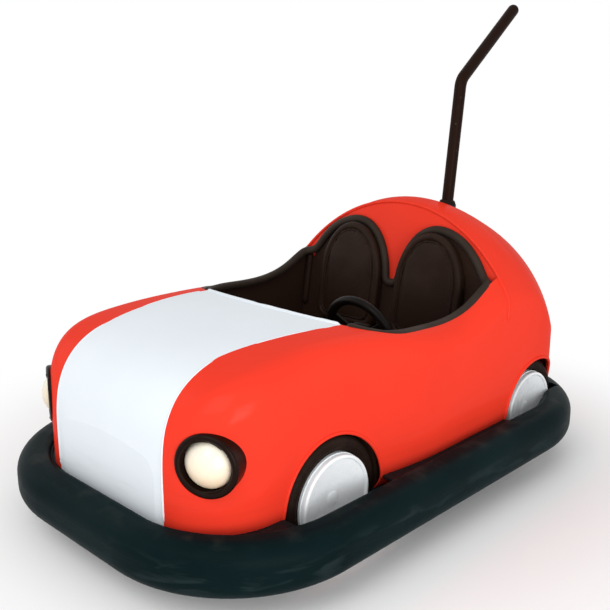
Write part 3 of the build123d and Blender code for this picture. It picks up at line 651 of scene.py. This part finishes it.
def tube(name, lines, radius, body, slot, finish, **shape):
    """One piece made of a tube along each line."""
    work = bmesh.new()
    for line in lines:
        add_tube(work, line, radius, **shape)
    return piece_from(work, name, body, finish)


def lathe(name, places, profile, body, slot, finish, sides=32):
    """Round pieces turned from a profile of (radius, height), one at each (centre, axis), joined as one."""
    work = bmesh.new()
    for centre, axis in places:
        turn = Vector(axis).to_track_quat("Z", "Y").to_matrix()
        rings = []
        for radius, height in profile:
            angles = full_turn(sides) if radius else [0.0]
            spokes = [Vector((radius * math.cos(a), radius * math.sin(a), height)) for a in angles]
            rings.append([work.verts.new(Vector(centre) + turn @ spoke) for spoke in spokes])
        for ring, after in zip(rings, rings[1:]):
            for k in range(sides):
                near = [ring[k % len(ring)], ring[(k + 1) % len(ring)]]
                far = [after[(k + 1) % len(after)], after[k % len(after)]]
                work.faces.new(list(dict.fromkeys(near + far)))
    return piece_from(work, name, body, finish)


print("tube and lathe ready")

# %% [markdown]
# ## The cockpit's edge
# Riders lean on the cockpit's edge and climb over it, so the trim round it has to lie right on it.
# The edge is felt from the middle of the cockpit outwards in every direction, as far as the bulkhead behind
# the seats. The bulkhead leans back, so two rays towards it give its slope, and the hump's crease is felt
# along that slope. Rays straight down would have to know how far back the crease lies at each height.

# %% Feel the bulkhead and the cockpit's edge
shell = joined_surface("rear_body_shell")
pad_low, pad_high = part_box("left_backrest")
before_bulkhead = -0.1
low_hit = hit(shell, (0, before_bulkhead, pad_high.z - 0.09), rearwards)
high_hit = hit(shell, (0, before_bulkhead, pad_high.z + 0.02), rearwards)
up_slope = (high_hit - low_hit).normalized()
leftwards = Vector((1, 0, 0))
forward = leftwards.cross(up_slope)
forward = forward if forward.y < 0 else -forward
above_cockpit = Vector((0, 0.02, 1.4))
edge_reach = 0.7
sill_level = 0.5
side_wall_x = 0.4
bulkhead_margin = 0.012
hump_centre_z = 0.5
hump_reach = 0.9


def on_bulkhead(x, z, proud=0.0):
    """A point on the bulkhead at one height, or a little in front of it."""
    return low_hit + up_slope * ((z - low_hit.z) / up_slope.z) + Vector((x, 0, 0)) + forward * proud


def cockpit_edge(degrees):
    """The body's edge in one direction from the cockpit's middle. 0 is straight back and 90 is left."""
    angle = math.radians(degrees)
    out = above_cockpit + Vector((math.sin(angle), math.cos(angle), 0)) * edge_reach
    return edge_between(body_surface, above_cockpit, out, down, lambda p: p.z > sill_level)


def hump_crease(degrees, behind=0.004):
    """The crease of the hump, seen from a point on the bulkhead. 0 is straight up."""
    angle = math.radians(degrees)
    outward = Vector((math.sin(angle), 0, 0)) + up_slope * math.cos(angle)
    centre = on_bulkhead(0, hump_centre_z, -behind)
    return hit(shell, centre + outward * hump_reach, -outward) + forward * behind


def clear_of_bulkhead(point):
    """Whether a point of the edge is on a side wall, in front of the bulkhead."""
    return (point - low_hit).dot(forward) > bulkhead_margin


walls = [cockpit_edge(d) for d in range(0, 361)]
on_side_wall = [d for d in range(20, 180) if clear_of_bulkhead(walls[d]) and abs(walls[d].x) > side_wall_x]
first = on_side_wall[0]
lean = math.degrees(math.atan2(up_slope.y, up_slope.z))
print("bulkhead leans back", round(lean, 1), "degrees; side walls start at", first)

# %% [markdown]
# ## Padded roll
# One dark padded roll runs round the cockpit: along each side wall, then up round the back panel behind the
# seats. It could be cut into a wall roll and a panel roll, but on the car it is one sewn length, so it is
# one tube here. Where the white bonnet ends there is none, because the moulding itself turns down there in
# a small white lip.

# %% Padded roll
bonnet_low, bonnet_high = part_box("bonnet_panel")
seam_x = bonnet_high.x
seam_margin = 0.004
roll_radius = 0.0145
roll_proud = 0.008
roll_inset = 0.01
roll_drop = 0.006
liner = joined_surface("cockpit_liner")
pad_middle = (pad_high.x + pad_low.x) / 2
lobe_drop = 0.21
longest_reach = 0.5


def panel_edge(side, degrees):
    """The back panel's edge, seen from the middle of one backrest. 0 is straight up and 90 is outwards."""
    angle = math.radians(degrees)
    heading = Vector((side * math.sin(angle), 0, 0)) + up_slope * math.cos(angle)
    centre = on_bulkhead(side * pad_middle, pad_high.z - lobe_drop, 0.0025)
    inwards = max(-math.sin(angle), 0)
    reach = min(longest_reach, 0.99 * pad_middle / inwards) if inwards > 0.02 else longest_reach
    start = centre + heading * reach
    return hit(liner, start, -heading) or start


def beside(line, sideways, drop):
    """The same line moved towards the cockpit's middle and down."""
    moved = []
    for i, point in enumerate(line):
        along = (line[min(i + 1, len(line) - 1)] - line[max(i - 1, 0)]).normalized()
        side = along.cross(Vector((0, 0, 1))).normalized()
        if side.dot(Vector((0, 0, point.z)) - point) < 0:
            side = -side
        moved.append(point + side * sideways + Vector((0, 0, -drop)))
    return moved


def sill_line(side):
    """One side wall's edge, from the bonnet's corner back to the bulkhead, set in and down a little."""
    found = [walls[d if side > 0 else 360 - d] for d in range(first, 180)]
    found = [p for p in found if abs(p.x) > seam_x + seam_margin or p.y > 0]
    return beside(smooth_line(evenly(found[::-1], 0.012), 6), roll_inset, roll_drop)


outermost, innermost = 72, -90
left_lobe = [panel_edge(1, d) for d in range(outermost, innermost - 1, -3)]
right_lobe = [panel_edge(-1, d) for d in range(innermost, outermost + 1, 3)]
panel = left_lobe + right_lobe
panel = [p + forward * roll_proud for p in panel]
whole = sill_line(1) + panel + sill_line(-1)[::-1]
whole = smooth_line(evenly(whole, 0.011), 5)
edge_roll = tube(
    "cockpit_edge_roll", [whole], roll_radius, "chassis", "seat_vinyl", roll_vinyl, sides=16, up=forward
)
print("roll:", len(whole), "rings; seam at x", round(seam_x, 3))

# %% [markdown]
# ## Corner rolls and the hump's lip
# A shorter roll stands in each rear corner of the cockpit, where the lining meets the bulkhead, and covers
# the joint. A red lip finishes the hump's crease, above the back panel. It is a thin tube sunk into the
# crease, because a rounded edge on the moulding itself would have to be remade with each change of the
# hump.

# %% Corner rolls and the hump's lip
corner_inset = 0.012
corner_proud = 0.007
corner_radius = 0.015
corner_foot = 0.45
corner_step = 0.012
corner_x = walls[first + 2].x - corner_inset
corner_heights = [corner_foot + corner_step * k for k in range(18)]
corners = [[on_bulkhead(side * corner_x, z, corner_proud) for z in corner_heights] for side in (1, -1)]
corner_rolls = tube("corner_rolls", corners, corner_radius, "chassis", "seat_vinyl", seat_vinyl, sides=12)

crease_line = smooth_line(evenly([hump_crease(d) for d in range(-84, 85, 2)], 0.01), 4)
tube("hump_crease_lip", [crease_line], 0.006, "chassis", "body_red", red_gelcoat, sides=12)
print("corner rolls:", len(corners), "crease lip:", len(crease_line), "rings")

# %% [markdown]
# ## Tools for soft pads
# A pad is foam in a cover that is cut a little small, so it swells between its seams. Moving points by a
# formula gives a dome that is too regular, so a closed slab is remeshed and blown up a little as cloth,
# under pressure. The swelling is capped, so that no pad grows into its neighbours.


# %% Slabs to inflate
def round_corner(x, y, radius, start, steps):
    """A quarter circle about (x, y), from a start angle in degrees, as points."""
    angles = [math.radians(start + 90 * k / steps) for k in range(steps + 1)]
    return [(x + radius * math.cos(a), y + radius * math.sin(a)) for a in angles]


def solid_of(outline, thickness, name):
    """A slab of an outline in x and y, standing on z = 0."""
    work = bmesh.new()
    ring = [work.verts.new((x, y, 0)) for x, y in outline]
    face = work.faces.new(ring)
    grown = bmesh.ops.extrude_face_region(work, geom=[face])
    top = [v for v in grown["geom"] if isinstance(v, bmesh.types.BMVert)]
    bmesh.ops.translate(work, verts=top, vec=(0, 0, thickness))
    bmesh.ops.recalc_face_normals(work, faces=work.faces)
    mesh = bpy.data.meshes.new(name)
    work.to_mesh(mesh)
    work.free()
    piece = bpy.data.objects.new(name, mesh)
    scene.collection.objects.link(piece)
    return piece


print("slab tools ready")


# %% Inflate and cover
def apply_to(piece, modifier):
    """Makes a modifier's result the piece's own mesh."""
    bpy.context.view_layer.objects.active = piece
    bpy.ops.object.modifier_apply(modifier=modifier.name)


def inflate(piece, cell, most, pressure=4.0, frames=20, held_height=0.004):
    """Remeshes a closed slab, inflates it as cloth, and keeps every point within a limit of where it was."""
    remesh = piece.modifiers.new("even", "REMESH")
    remesh.mode = "VOXEL"
    remesh.voxel_size = cell
    apply_to(piece, remesh)
    before = [v.co.copy() for v in piece.data.vertices]
    held = piece.vertex_groups.new(name="held")
    low = min(v.z for v in before)
    held.add([i for i, v in enumerate(before) if v.z < low + held_height], 1.0, "ADD")
    cloth = piece.modifiers.new("cover", "CLOTH")
    cloth.settings.vertex_group_mass = held.name
    cloth.settings.use_pressure = True
    cloth.settings.uniform_pressure_force = pressure
    cloth.settings.effector_weights.gravity = 0
    cloth.settings.tension_stiffness = 12
    cloth.settings.bending_stiffness = 4
    cloth.settings.mass = 0.3
    cloth.collision_settings.use_collision = False
    for step in range(1, frames + 1):
        scene.frame_set(step)
    apply_to(piece, cloth)
    scene.frame_set(1)
    for vertex, start in zip(piece.data.vertices, before):
        move = vertex.co - start
        if move.length > most:
            vertex.co = start + move * (most / move.length)


def soft(piece, turn, origin, node):
    """Stands a pad in its place, smooths and covers it, and lets it replace its plain solid."""
    piece.data.transform(Matrix.Translation(origin) @ turn.to_4x4())
    piece.data.update()
    smooth = piece.modifiers.new("smooth", "SUBSURF")
    smooth.levels = smooth.render_levels = 1
    apply_to(piece, smooth)
    piece.data.materials.append(seat_vinyl)
    for face in piece.data.polygons:
        face.use_smooth = True
    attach(piece, "chassis")
    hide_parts(node)


print("inflating tools ready")

# %% [markdown]
# ## Backrests
# Each backrest is a foam pad in a vinyl cover, drawn tight round a fat border roll, so the face inside the
# roll bulges gently. The cloth puts the fullness in the middle and pulls it in at the sewn edge. Remeshing
# would eat a roll and a piping as thin as these, so they are tubes laid on afterwards, the roll sunk by
# half into the pad.

# %% Measure the backrests
pad_half = (pad_high.x - pad_low.x) / 2
foot = on_bulkhead(0, pad_low.z + 0.008)
head = on_bulkhead(0, pad_high.z)
pad_rise = (head - foot).length - 0.012
pad_thickness = 0.05
arch_rise = pad_rise * 0.515
border = 0.0145
foot_corner = 0.03
both_sides = (("left", 1), ("right", -1))
leaning = Matrix((leftwards, up_slope, forward)).transposed()


def pad_outline(inset):
    """The pad's outline, from its foot up to its round top, drawn in by an inset."""
    half, rise = pad_half - inset, pad_rise - inset
    shoulder = pad_rise - arch_rise
    angles = [math.pi * k / 32 for k in range(33)]
    arch = [(half * math.cos(a), shoulder + (rise - shoulder) * math.sin(a)) for a in angles]
    near_foot = round_corner(half - foot_corner, inset + foot_corner, foot_corner, 270, 8)
    far_foot = round_corner(-half + foot_corner, inset + foot_corner, foot_corner, 180, 8)
    return near_foot + arch + far_foot


def pad_line(origin, inset, depth, gap):
    """A closed line round the pad's face, in from its outline and behind its front."""
    line = evenly([(x, y, pad_thickness - depth) for x, y in pad_outline(inset)], gap, closed=True)
    return smooth_line([origin + leaning @ p for p in line], 3, closed=True)


print("backrests:", round(2 * pad_half, 3), "m wide,", round(pad_rise, 3), "m tall")

# %% Backrests
crown = 0.007
stitch_depth = 0.0035
stitch_place = 0.74
cover = ("chassis", "seat_vinyl", seat_vinyl)
for side_name, side in both_sides:
    pad = solid_of(pad_outline(0.004), pad_thickness - 0.014, f"{side_name}_backrest_pad")
    inflate(pad, cell=0.005, most=0.008)
    for vertex in pad.data.vertices:
        if vertex.co.z > pad_thickness * 0.4:
            across = min(abs(vertex.co.x) / pad_half, 1)
            along = min(abs(vertex.co.y - pad_rise * 0.48) / (pad_rise * 0.52), 1)
            vertex.co.z += crown * (1 - across**2) * (1 - along**2) - 0.002
            vertex.co.z -= stitch_depth * math.exp(-(((across - stitch_place) / 0.06) ** 2)) * (1 - along**4)
    origin = foot + Vector((side * pad_middle, 0, 0)) + forward * 0.006
    soft(pad, leaning, origin, f"{side_name}_backrest")
    edge = pad_line(origin, border * 0.9, border + 0.006, 0.01)
    roll = tube(f"{side_name}_backrest_roll", [edge], border, *cover, closed=True, sides=14, up=forward)
    seam = pad_line(origin, border * 1.95, 0.0072, 0.008)
    tube(f"{side_name}_backrest_piping", [seam], 0.0028, *cover, closed=True, sides=8, up=forward)
    print(side_name, "backrest:", len(pad.data.polygons), "faces")

# %% [markdown]
# ## Bench cushion
# The bench is one cushion for two riders, with a sewn valley down its middle and cross seams that stop the
# foam creeping forward. The cover is inflated first, and the seams are pressed in afterwards so that they
# stay crisp.

# %% Bench cushion
bench_low, bench_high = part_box("seat_cushion")
bench_size = bench_high - bench_low
bench_corner = 0.02
bench_inset = 0.004
plan = []
for x_sign, y_sign, start in ((1, 1, 0), (-1, 1, 90), (-1, -1, 180), (1, -1, 270)):
    corner_centre_x = x_sign * (bench_size.x / 2 - bench_inset - bench_corner)
    corner_centre_y = y_sign * (bench_size.y / 2 - bench_inset - bench_corner)
    plan += round_corner(corner_centre_x, corner_centre_y, bench_corner, start, 5)
bench = solid_of(plan, bench_size.z - 0.012, "bench_cushion")
inflate(bench, cell=0.007, most=0.007)
print("bench:", rounded(bench_size))

# %% Press the bench's seams
cross_seams = [bench_size.y * share for share in (-0.17, 0.16)]
front_roll = -bench_size.y / 2 + 0.03
for vertex in bench.data.vertices:
    if vertex.co.z > bench_size.z * 0.5:
        x, y = vertex.co.x, vertex.co.y
        from_rider = abs(abs(x) - bench_size.x / 4) / (bench_size.x / 4)
        dome = 0.009 * (1 - min(from_rider, 1) ** 2) * (1 - (2 * y / bench_size.y) ** 4)
        valley = 0.009 * math.exp(-((x / 0.012) ** 2))
        stitches = sum(0.006 * math.exp(-(((y - s) / 0.009) ** 2)) for s in cross_seams)
        vertex.co.z += dome - valley - stitches
        if y < front_roll:
            vertex.co.z -= 0.3 * (front_roll - y)
bench_origin = Vector(((bench_low.x + bench_high.x) / 2, (bench_low.y + bench_high.y) / 2, bench_low.z))
soft(bench, Matrix.Identity(3), bench_origin, "seat_cushion")
hem = [bench_origin + Vector((x * 0.994, y * 0.99, bench_size.z - 0.016)) for x, y in plan]
hem = smooth_line(evenly(hem, 0.012, closed=True), 2, closed=True)
tube("bench_piping", [hem], 0.0035, "chassis", "seat_vinyl", roll_vinyl, closed=True, sides=8)
print("cross seams:", len(cross_seams), "piping:", len(hem), "points")

# %% [markdown]
# ## Beads on the white bonnet
# The white bonnet is a panel let into the red moulding. A slim bead covers each joint, and a thicker white
# lip turns its rear edge down into the cockpit. A painted line would look flat from the side, so both are
# tubes on the edge. The bead's edge is felt round the nose by angle, because the panel is steep there, and
# along the top by station.

# %% Beads on the white bonnet
bonnet = joined_surface("bonnet_panel")
nose_middle = Vector((0, bonnet_low.y + 0.3, 0.3))
ring_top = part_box("bumper")[1].z


def bonnet_edge(side, direction, origin):
    """The bonnet's side edge, felt from beside it towards the middle, along one direction."""
    outside = origin + Vector((side * 0.46, 0, 0))
    within = origin + Vector((side * 0.1, 0, 0))
    return edge_between(bonnet, outside, within, direction, lambda p: True)


def nose_edge(side, degrees):
    """The bonnet's side edge on the nose. 0 is straight ahead and 90 is straight up."""
    angle = math.radians(degrees)
    direction = Vector((0, math.cos(angle), -math.sin(angle)))
    return bonnet_edge(side, direction, nose_middle - direction * 0.8)


bead_lines = []
stations = [nose_middle.y + 0.012 * k for k in range(1, 60)]
for side in (1, -1):
    round_nose = [nose_edge(side, d) for d in range(-16, 90, 3)]
    over_top = [bonnet_edge(side, down, Vector((0, y, 1.2))) for y in stations if y < bonnet_high.y - 0.02]
    line = [p for p in round_nose + over_top if p.z > ring_top - 0.03]
    bead_lines.append(smooth_line(evenly(line, 0.01), 14))
tube("bonnet_edge_beads", bead_lines, 0.0032, "chassis", "panel_white", white_gelcoat, sides=8)

bonnet_rear = [p for p in walls[120:241] if abs(p.x) < seam_x - seam_margin and p.y < 0]
bonnet_rear = smooth_line(evenly(bonnet_rear, 0.01), 4)
rear_lip = [p + Vector((0, 0.002, -0.001)) for p in bonnet_rear]
tube("bonnet_rear_lip", [rear_lip], 0.0075, "chassis", "panel_white", white_gelcoat, sides=12)
print("bead points:", [len(line) for line in bead_lines], "lip points:", len(bonnet_rear))

# %% [markdown]
# ## Wheel arch lips
# Each wheel arch has a rolled lip, so that the glass fibre doesn't crack there. The arches are cut through
# panels that curve both ways, so a plain hoop would leave the surface. Each spoke of the wheel is followed
# outwards instead, until a ray from the side first meets the body.

# %% Wheel arch lips
road_wheels = [(f"{axle}_{side_name}", side) for axle in ("front", "rear") for side_name, side in both_sides]
arch_clearance = 0.0085
arch_depth = 0.06
beside_body = 0.7
behind_ring = 0.045


def middle_and_radius(node):
    """The middle of a node's box, and half of its height."""
    low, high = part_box(node)
    return (low + high) / 2, (high.z - low.z) / 2


def arch_edge(hub, side, reach, degrees):
    """The first point of the body along one spoke of a wheel, or None."""
    angle = math.radians(degrees)
    spoke = Vector((0, math.cos(angle), math.sin(angle)))
    for millimetres in range(0, 30):
        far = hub + spoke * (reach + 0.001 * millimetres) + Vector((side * beside_body, 0, 0))
        found = hit(body_surface, far, (-side, 0, 0))
        if found and side * found.x > side * hub.x - arch_depth:
            return found
    return None


lip_lines = []
for wheel, side in road_wheels:
    hub, tyre_radius = middle_and_radius(f"{wheel}_tyre")
    felt = [arch_edge(hub, side, tyre_radius + arch_clearance, d) for d in range(-30, 211, 3)]
    run = [p for p in felt if p and p.z > ring_top - behind_ring]
    lip_lines.append(smooth_line(evenly(run, 0.008), 3))
tube("wheel_arch_lips", lip_lines, 0.0055, "chassis", "body_red", red_gelcoat, sides=10)
print("arch lips:", [len(line) for line in lip_lines])

# %% [markdown]
# ## Wheels
# The side wheels are dressed like small car wheels: the tyre has moulded bead rings on its wall, and the
# white dished disc has a low plug over its centre bolt. Rings drawn as bump would vanish at the tyre's
# outline, so they are real, sunk into the wall where a ray finds it. All of it turns with the wheel.

# %% Tyre rings and centre plugs
# share of the tyre's wall from cap to tread, and the radius of the ring's tube
wall_rings = ((0.2, 0.0022), (0.45, 0.0014), (0.62, 0.0014))
stand_off = 0.3
boss = [(0.0, 0.0034), (0.012, 0.0031), (0.019, 0.0022), (0.0225, 0.0009), (0.024, -0.0004), (0.024, -0.0012)]
for wheel, side in road_wheels:
    body = f"{wheel}_road_wheel"
    hub, tyre_radius = middle_and_radius(f"{wheel}_tyre")
    cap_radius = middle_and_radius(f"{wheel}_hub_cap")[1]
    tyre_surface = joined_surface(f"{wheel}_tyre")
    work = bmesh.new()
    for share, thick in wall_rings:
        radius = cap_radius + (tyre_radius - cap_radius) * share
        wall_x = hit(tyre_surface, (hub.x + side * stand_off, hub.y + radius, hub.z), (-side, 0, 0)).x
        circle = []
        for angle in full_turn(72):
            y, z = hub.y + radius * math.cos(angle), hub.z + radius * math.sin(angle)
            circle.append(Vector((wall_x, y, z)))
        add_tube(work, circle, thick, closed=True, sides=8, up=(side, 0, 0))
    piece_from(work, f"{wheel}_tyre_rings", body, rubber_of_tyres)
    cap_surface = joined_surface(f"{wheel}_hub_cap")
    cap_x = hit(cap_surface, (hub.x + side * stand_off, hub.y, hub.z), (-side, 0, 0)).x
    plug_place = ((cap_x, hub.y, hub.z), (side, 0, 0))
    lathe(f"{wheel}_hub_boss", [plug_place], boss, body, "wheel_white", enamels["wheel_enamel"], sides=40)
print("wheel trim on", len(road_wheels), "wheels")

# %% [markdown]
# ## Lamps
# Each bezel is a thick dark ring held by three small screws, and the opal lens sits in it on a thin rubber
# gasket. The bezels are turned outwards and wrap round the nose, so the gasket and the screws are dropped
# on to them along the lamp's own axis, instead of being given places by number.

# %% Lamp screws and gaskets
lamp_turn = math.radians(27)
near_stand_off = 0.2
gasket_seat = 0.002
screw_circle = 0.0105
screw_sink = 0.0008
upright = Vector((0, 0, 1))
screw = [(0.0, 0.0022), (0.0018, 0.0022), (0.0032, 0.0016), (0.0038, 0.0006), (0.0038, 0.0)]
dark_plastic = ("chassis", "lamp_black", enamels["bezel_plastic"])
dark_rubber = ("chassis", "lamp_black", rubber_of_tyres)


def on_face(surface, middle, axis, angle, radius):
    """Where a surface lies at one angle and distance round an axis, felt along that axis."""
    across = axis.cross(upright).normalized()
    spoke = across * math.cos(angle) + upright * math.sin(angle)
    return hit(surface, middle + spoke * radius + axis * near_stand_off, -axis)


for side_name, side in both_sides:
    bezel = joined_surface(f"{side_name}_headlamp_bezel")
    lens_middle, lens_radius = middle_and_radius(f"{side_name}_headlamp_lens")
    axis = Vector((side * math.sin(lamp_turn), -math.cos(lamp_turn), 0))
    gasket_radius = lens_radius + 0.0005
    felt = [on_face(bezel, lens_middle, axis, angle, gasket_radius + gasket_seat) for angle in full_turn(72)]
    gasket = [p for p in felt if p]
    tube(f"{side_name}_lamp_gasket", [gasket], 0.0028, *dark_rubber, closed=True, sides=8, up=axis)
    screw_angles = [math.radians(d) for d in (30, 150, 270)]
    heads = [on_face(bezel, lens_middle, axis, angle, gasket_radius + screw_circle) for angle in screw_angles]
    screws = [(p - axis * screw_sink, axis) for p in heads]
    lathe(f"{side_name}_lamp_screws", screws, screw, *dark_plastic, sides=12)
    print(side_name, "lamp:", len(gasket), "gasket points,", len(screws), "screws")

# %% [markdown]
# ## Ring strip
# The ring is clamped to the rail by a strip under its inner top edge, which hides the joint from the riders.
# It is a dark extrusion that follows the ring all the way round, so rays from the car's middle find its line.

# %% Ring strip
ring_surface = joined_surface("bumper")
ring_low, ring_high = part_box("bumper")
strip_drop = 0.024
strip_centre = Vector((0, (ring_low.y + ring_high.y) / 2, ring_high.z - strip_drop))
strip = []
for degrees in range(0, 360, 3):
    angle = math.radians(degrees)
    heading = Vector((math.sin(angle), math.cos(angle), 0))
    found = hit(ring_surface, strip_centre, heading)
    if found:
        strip.append(found - heading * 0.001)
strip = smooth_line(evenly(strip, 0.015, closed=True), 1, closed=True)
tube("ring_clamp_strip", [strip], 0.0055, "chassis", "bumper_rubber", rubber_of_ring, closed=True, sides=10)
print("strip points:", len(strip))

# %% [markdown]
# ## Pedal and steering wheel
# The pedal has a ribbed rubber tread for grip. The steering wheel has a moulded pad over its centre nut,
# which turns with it. Ribs are tubes laid across the pedal where rays find it, and the pad is turned on the
# column's axis.

# %% Pedal and steering wheel
pedal = joined_surface("accelerator_pedal")
pedal_low, pedal_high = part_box("accelerator_pedal")
ribs = []
for k in range(6):
    y = pedal_low.y + (pedal_high.y - pedal_low.y) * (0.15 + 0.13 * k)
    ends = [hit(pedal, (x, y, 0.6), down) for x in (pedal_low.x + 0.01, pedal_high.x - 0.01)]
    if all(ends):
        ribs.append(evenly([p + Vector((0, 0, 0.0008)) for p in ends], 0.008))
tube("pedal_tread", ribs, 0.0032, "chassis", "tyre_rubber", rubber_of_tyres, sides=8)

column_rake = math.radians(14)
wheel_axis = Vector((0, math.sin(column_rake), math.cos(column_rake)))
wheel_middle = middle_and_radius("steering_wheel")[0]
hub_top = hit(joined_surface("steering_wheel"), wheel_middle + wheel_axis * near_stand_off, -wheel_axis)
pad_crown = [(0.0, 0.011), (0.012, 0.0108), (0.022, 0.0095)]
pad_rim = [(0.0285, 0.0065), (0.0305, 0.003), (0.0305, -0.001)]
moulding = ("steering", "control_black", enamels["grip_plastic"])
lathe("steering_centre_pad", [(hub_top, wheel_axis)], pad_crown + pad_rim, *moulding, sides=40)
print("pedal ribs:", len(ribs), "steering pad at", rounded(hub_top))

# %% [markdown]
# ## Floor mat
# Riders step into the footwell with wet shoes, so a mat of rubber ribs lies there. Ribs as bump would look
# flat from a low angle, so each rib is a flattened tube, nearly touching the next. Those in line with the
# pedal stop short of it.

# %% Floor mat
mat_half = 0.325
rib_count = 33
mat_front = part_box("cockpit_liner")[0].y + 0.03
mat_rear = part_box("seat_base")[0].y - 0.012
mat_level = hit(joined_surface("floor_pan"), (0, (mat_front + mat_rear) / 2, 0.3), down).z
mat_lines = []
for k in range(rib_count):
    x = -mat_half + 2 * mat_half * k / (rib_count - 1)
    by_pedal = pedal_low.x - 0.012 < x < pedal_high.x + 0.012
    front = pedal_high.y + 0.02 if by_pedal else mat_front
    rib = [Vector((x, y, mat_level + 0.002)) for y in (front, mat_rear)]
    mat_lines.append(evenly(rib, 0.03))
tube("floor_mat", mat_lines, 0.0095, "chassis", "tyre_rubber", rubber_of_tyres, sides=8, flatten=0.42)
print("mat ribs:", len(mat_lines), "at z", round(mat_level, 3))

# %% [markdown]
# ## Pole grommet
# The pole leaves the body through a collar, and a rubber grommet over the collar's mouth keeps rain out.
# The pole leans, so its axis is measured at two heights, and the grommet is turned on that axis.

# %% Pole grommet
collar_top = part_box("pole_collar")[1].z
pole_low, pole_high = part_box("contact_pole")
pole_surface = joined_surface("contact_pole")


def pole_centre(z):
    """The middle of the pole at one height, from a ray at its front and one at its back."""
    front = hit(pole_surface, (0, pole_low.y - stand_off, z), rearwards)
    back = hit(pole_surface, (0, pole_high.y + stand_off, z), (0, -1, 0))
    return (front + back) / 2


foot_of_pole = pole_centre(collar_top + 0.02)
pole_axis = (pole_centre(collar_top + 0.12) - foot_of_pole).normalized()
pole_radius = abs(hit(pole_surface, foot_of_pole + Vector((0.2, 0, 0)), (-1, 0, 0)).x)
# radius as a share of the pole's, and height along it
grommet_shape = ((1.0, 0.012), (1.16, 0.0115), (1.3, 0.008), (1.4, 0.002), (1.46, -0.004), (1.46, -0.01))
grommet = [(pole_radius * share, height) for share, height in grommet_shape]
grommet_place = foot_of_pole - pole_axis * (foot_of_pole.z - collar_top + 0.002)
soft_rubber = ("chassis", "tyre_rubber", rubber_of_tyres)
lathe("pole_grommet", [(grommet_place, pole_axis)], grommet, *soft_rubber, sides=36)
print("pole radius", round(pole_radius, 4), "axis", rounded(pole_axis))

# %% [markdown]
# ## Motor ribs
# The drive motor is cooled by air, so ribs run round its housing, and they turn with the drive unit.
# Each rib is a closed tube along the housing's own outline, felt by rays from all round it, so it fits
# whatever section the motor has. Plain hoops would float off the flat sides of a square motor.

# %% Motor ribs
motor_low, motor_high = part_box("drive_motor")
motor_surface = joined_surface("drive_motor")
motor_middle = (motor_low + motor_high) / 2
rays_round = 48
rib_lines = []
for k in range(7):
    y = motor_low.y + (motor_high.y - motor_low.y) * (0.14 + 0.12 * k)
    centre = Vector((motor_middle.x, y, motor_middle.z))
    headings = [Vector((math.cos(a), 0, math.sin(a))) for a in full_turn(rays_round)]
    hoop = [hit(motor_surface, centre + heading * stand_off, -heading) for heading in headings]
    if all(hoop):
        rib_lines.append(hoop)
casting = ("drive_unit", "motor_paint", motor_enamel)
tube("motor_ribs", rib_lines, 0.003, *casting, closed=True, sides=8, up=rearwards)
print("ribs:", len(rib_lines))
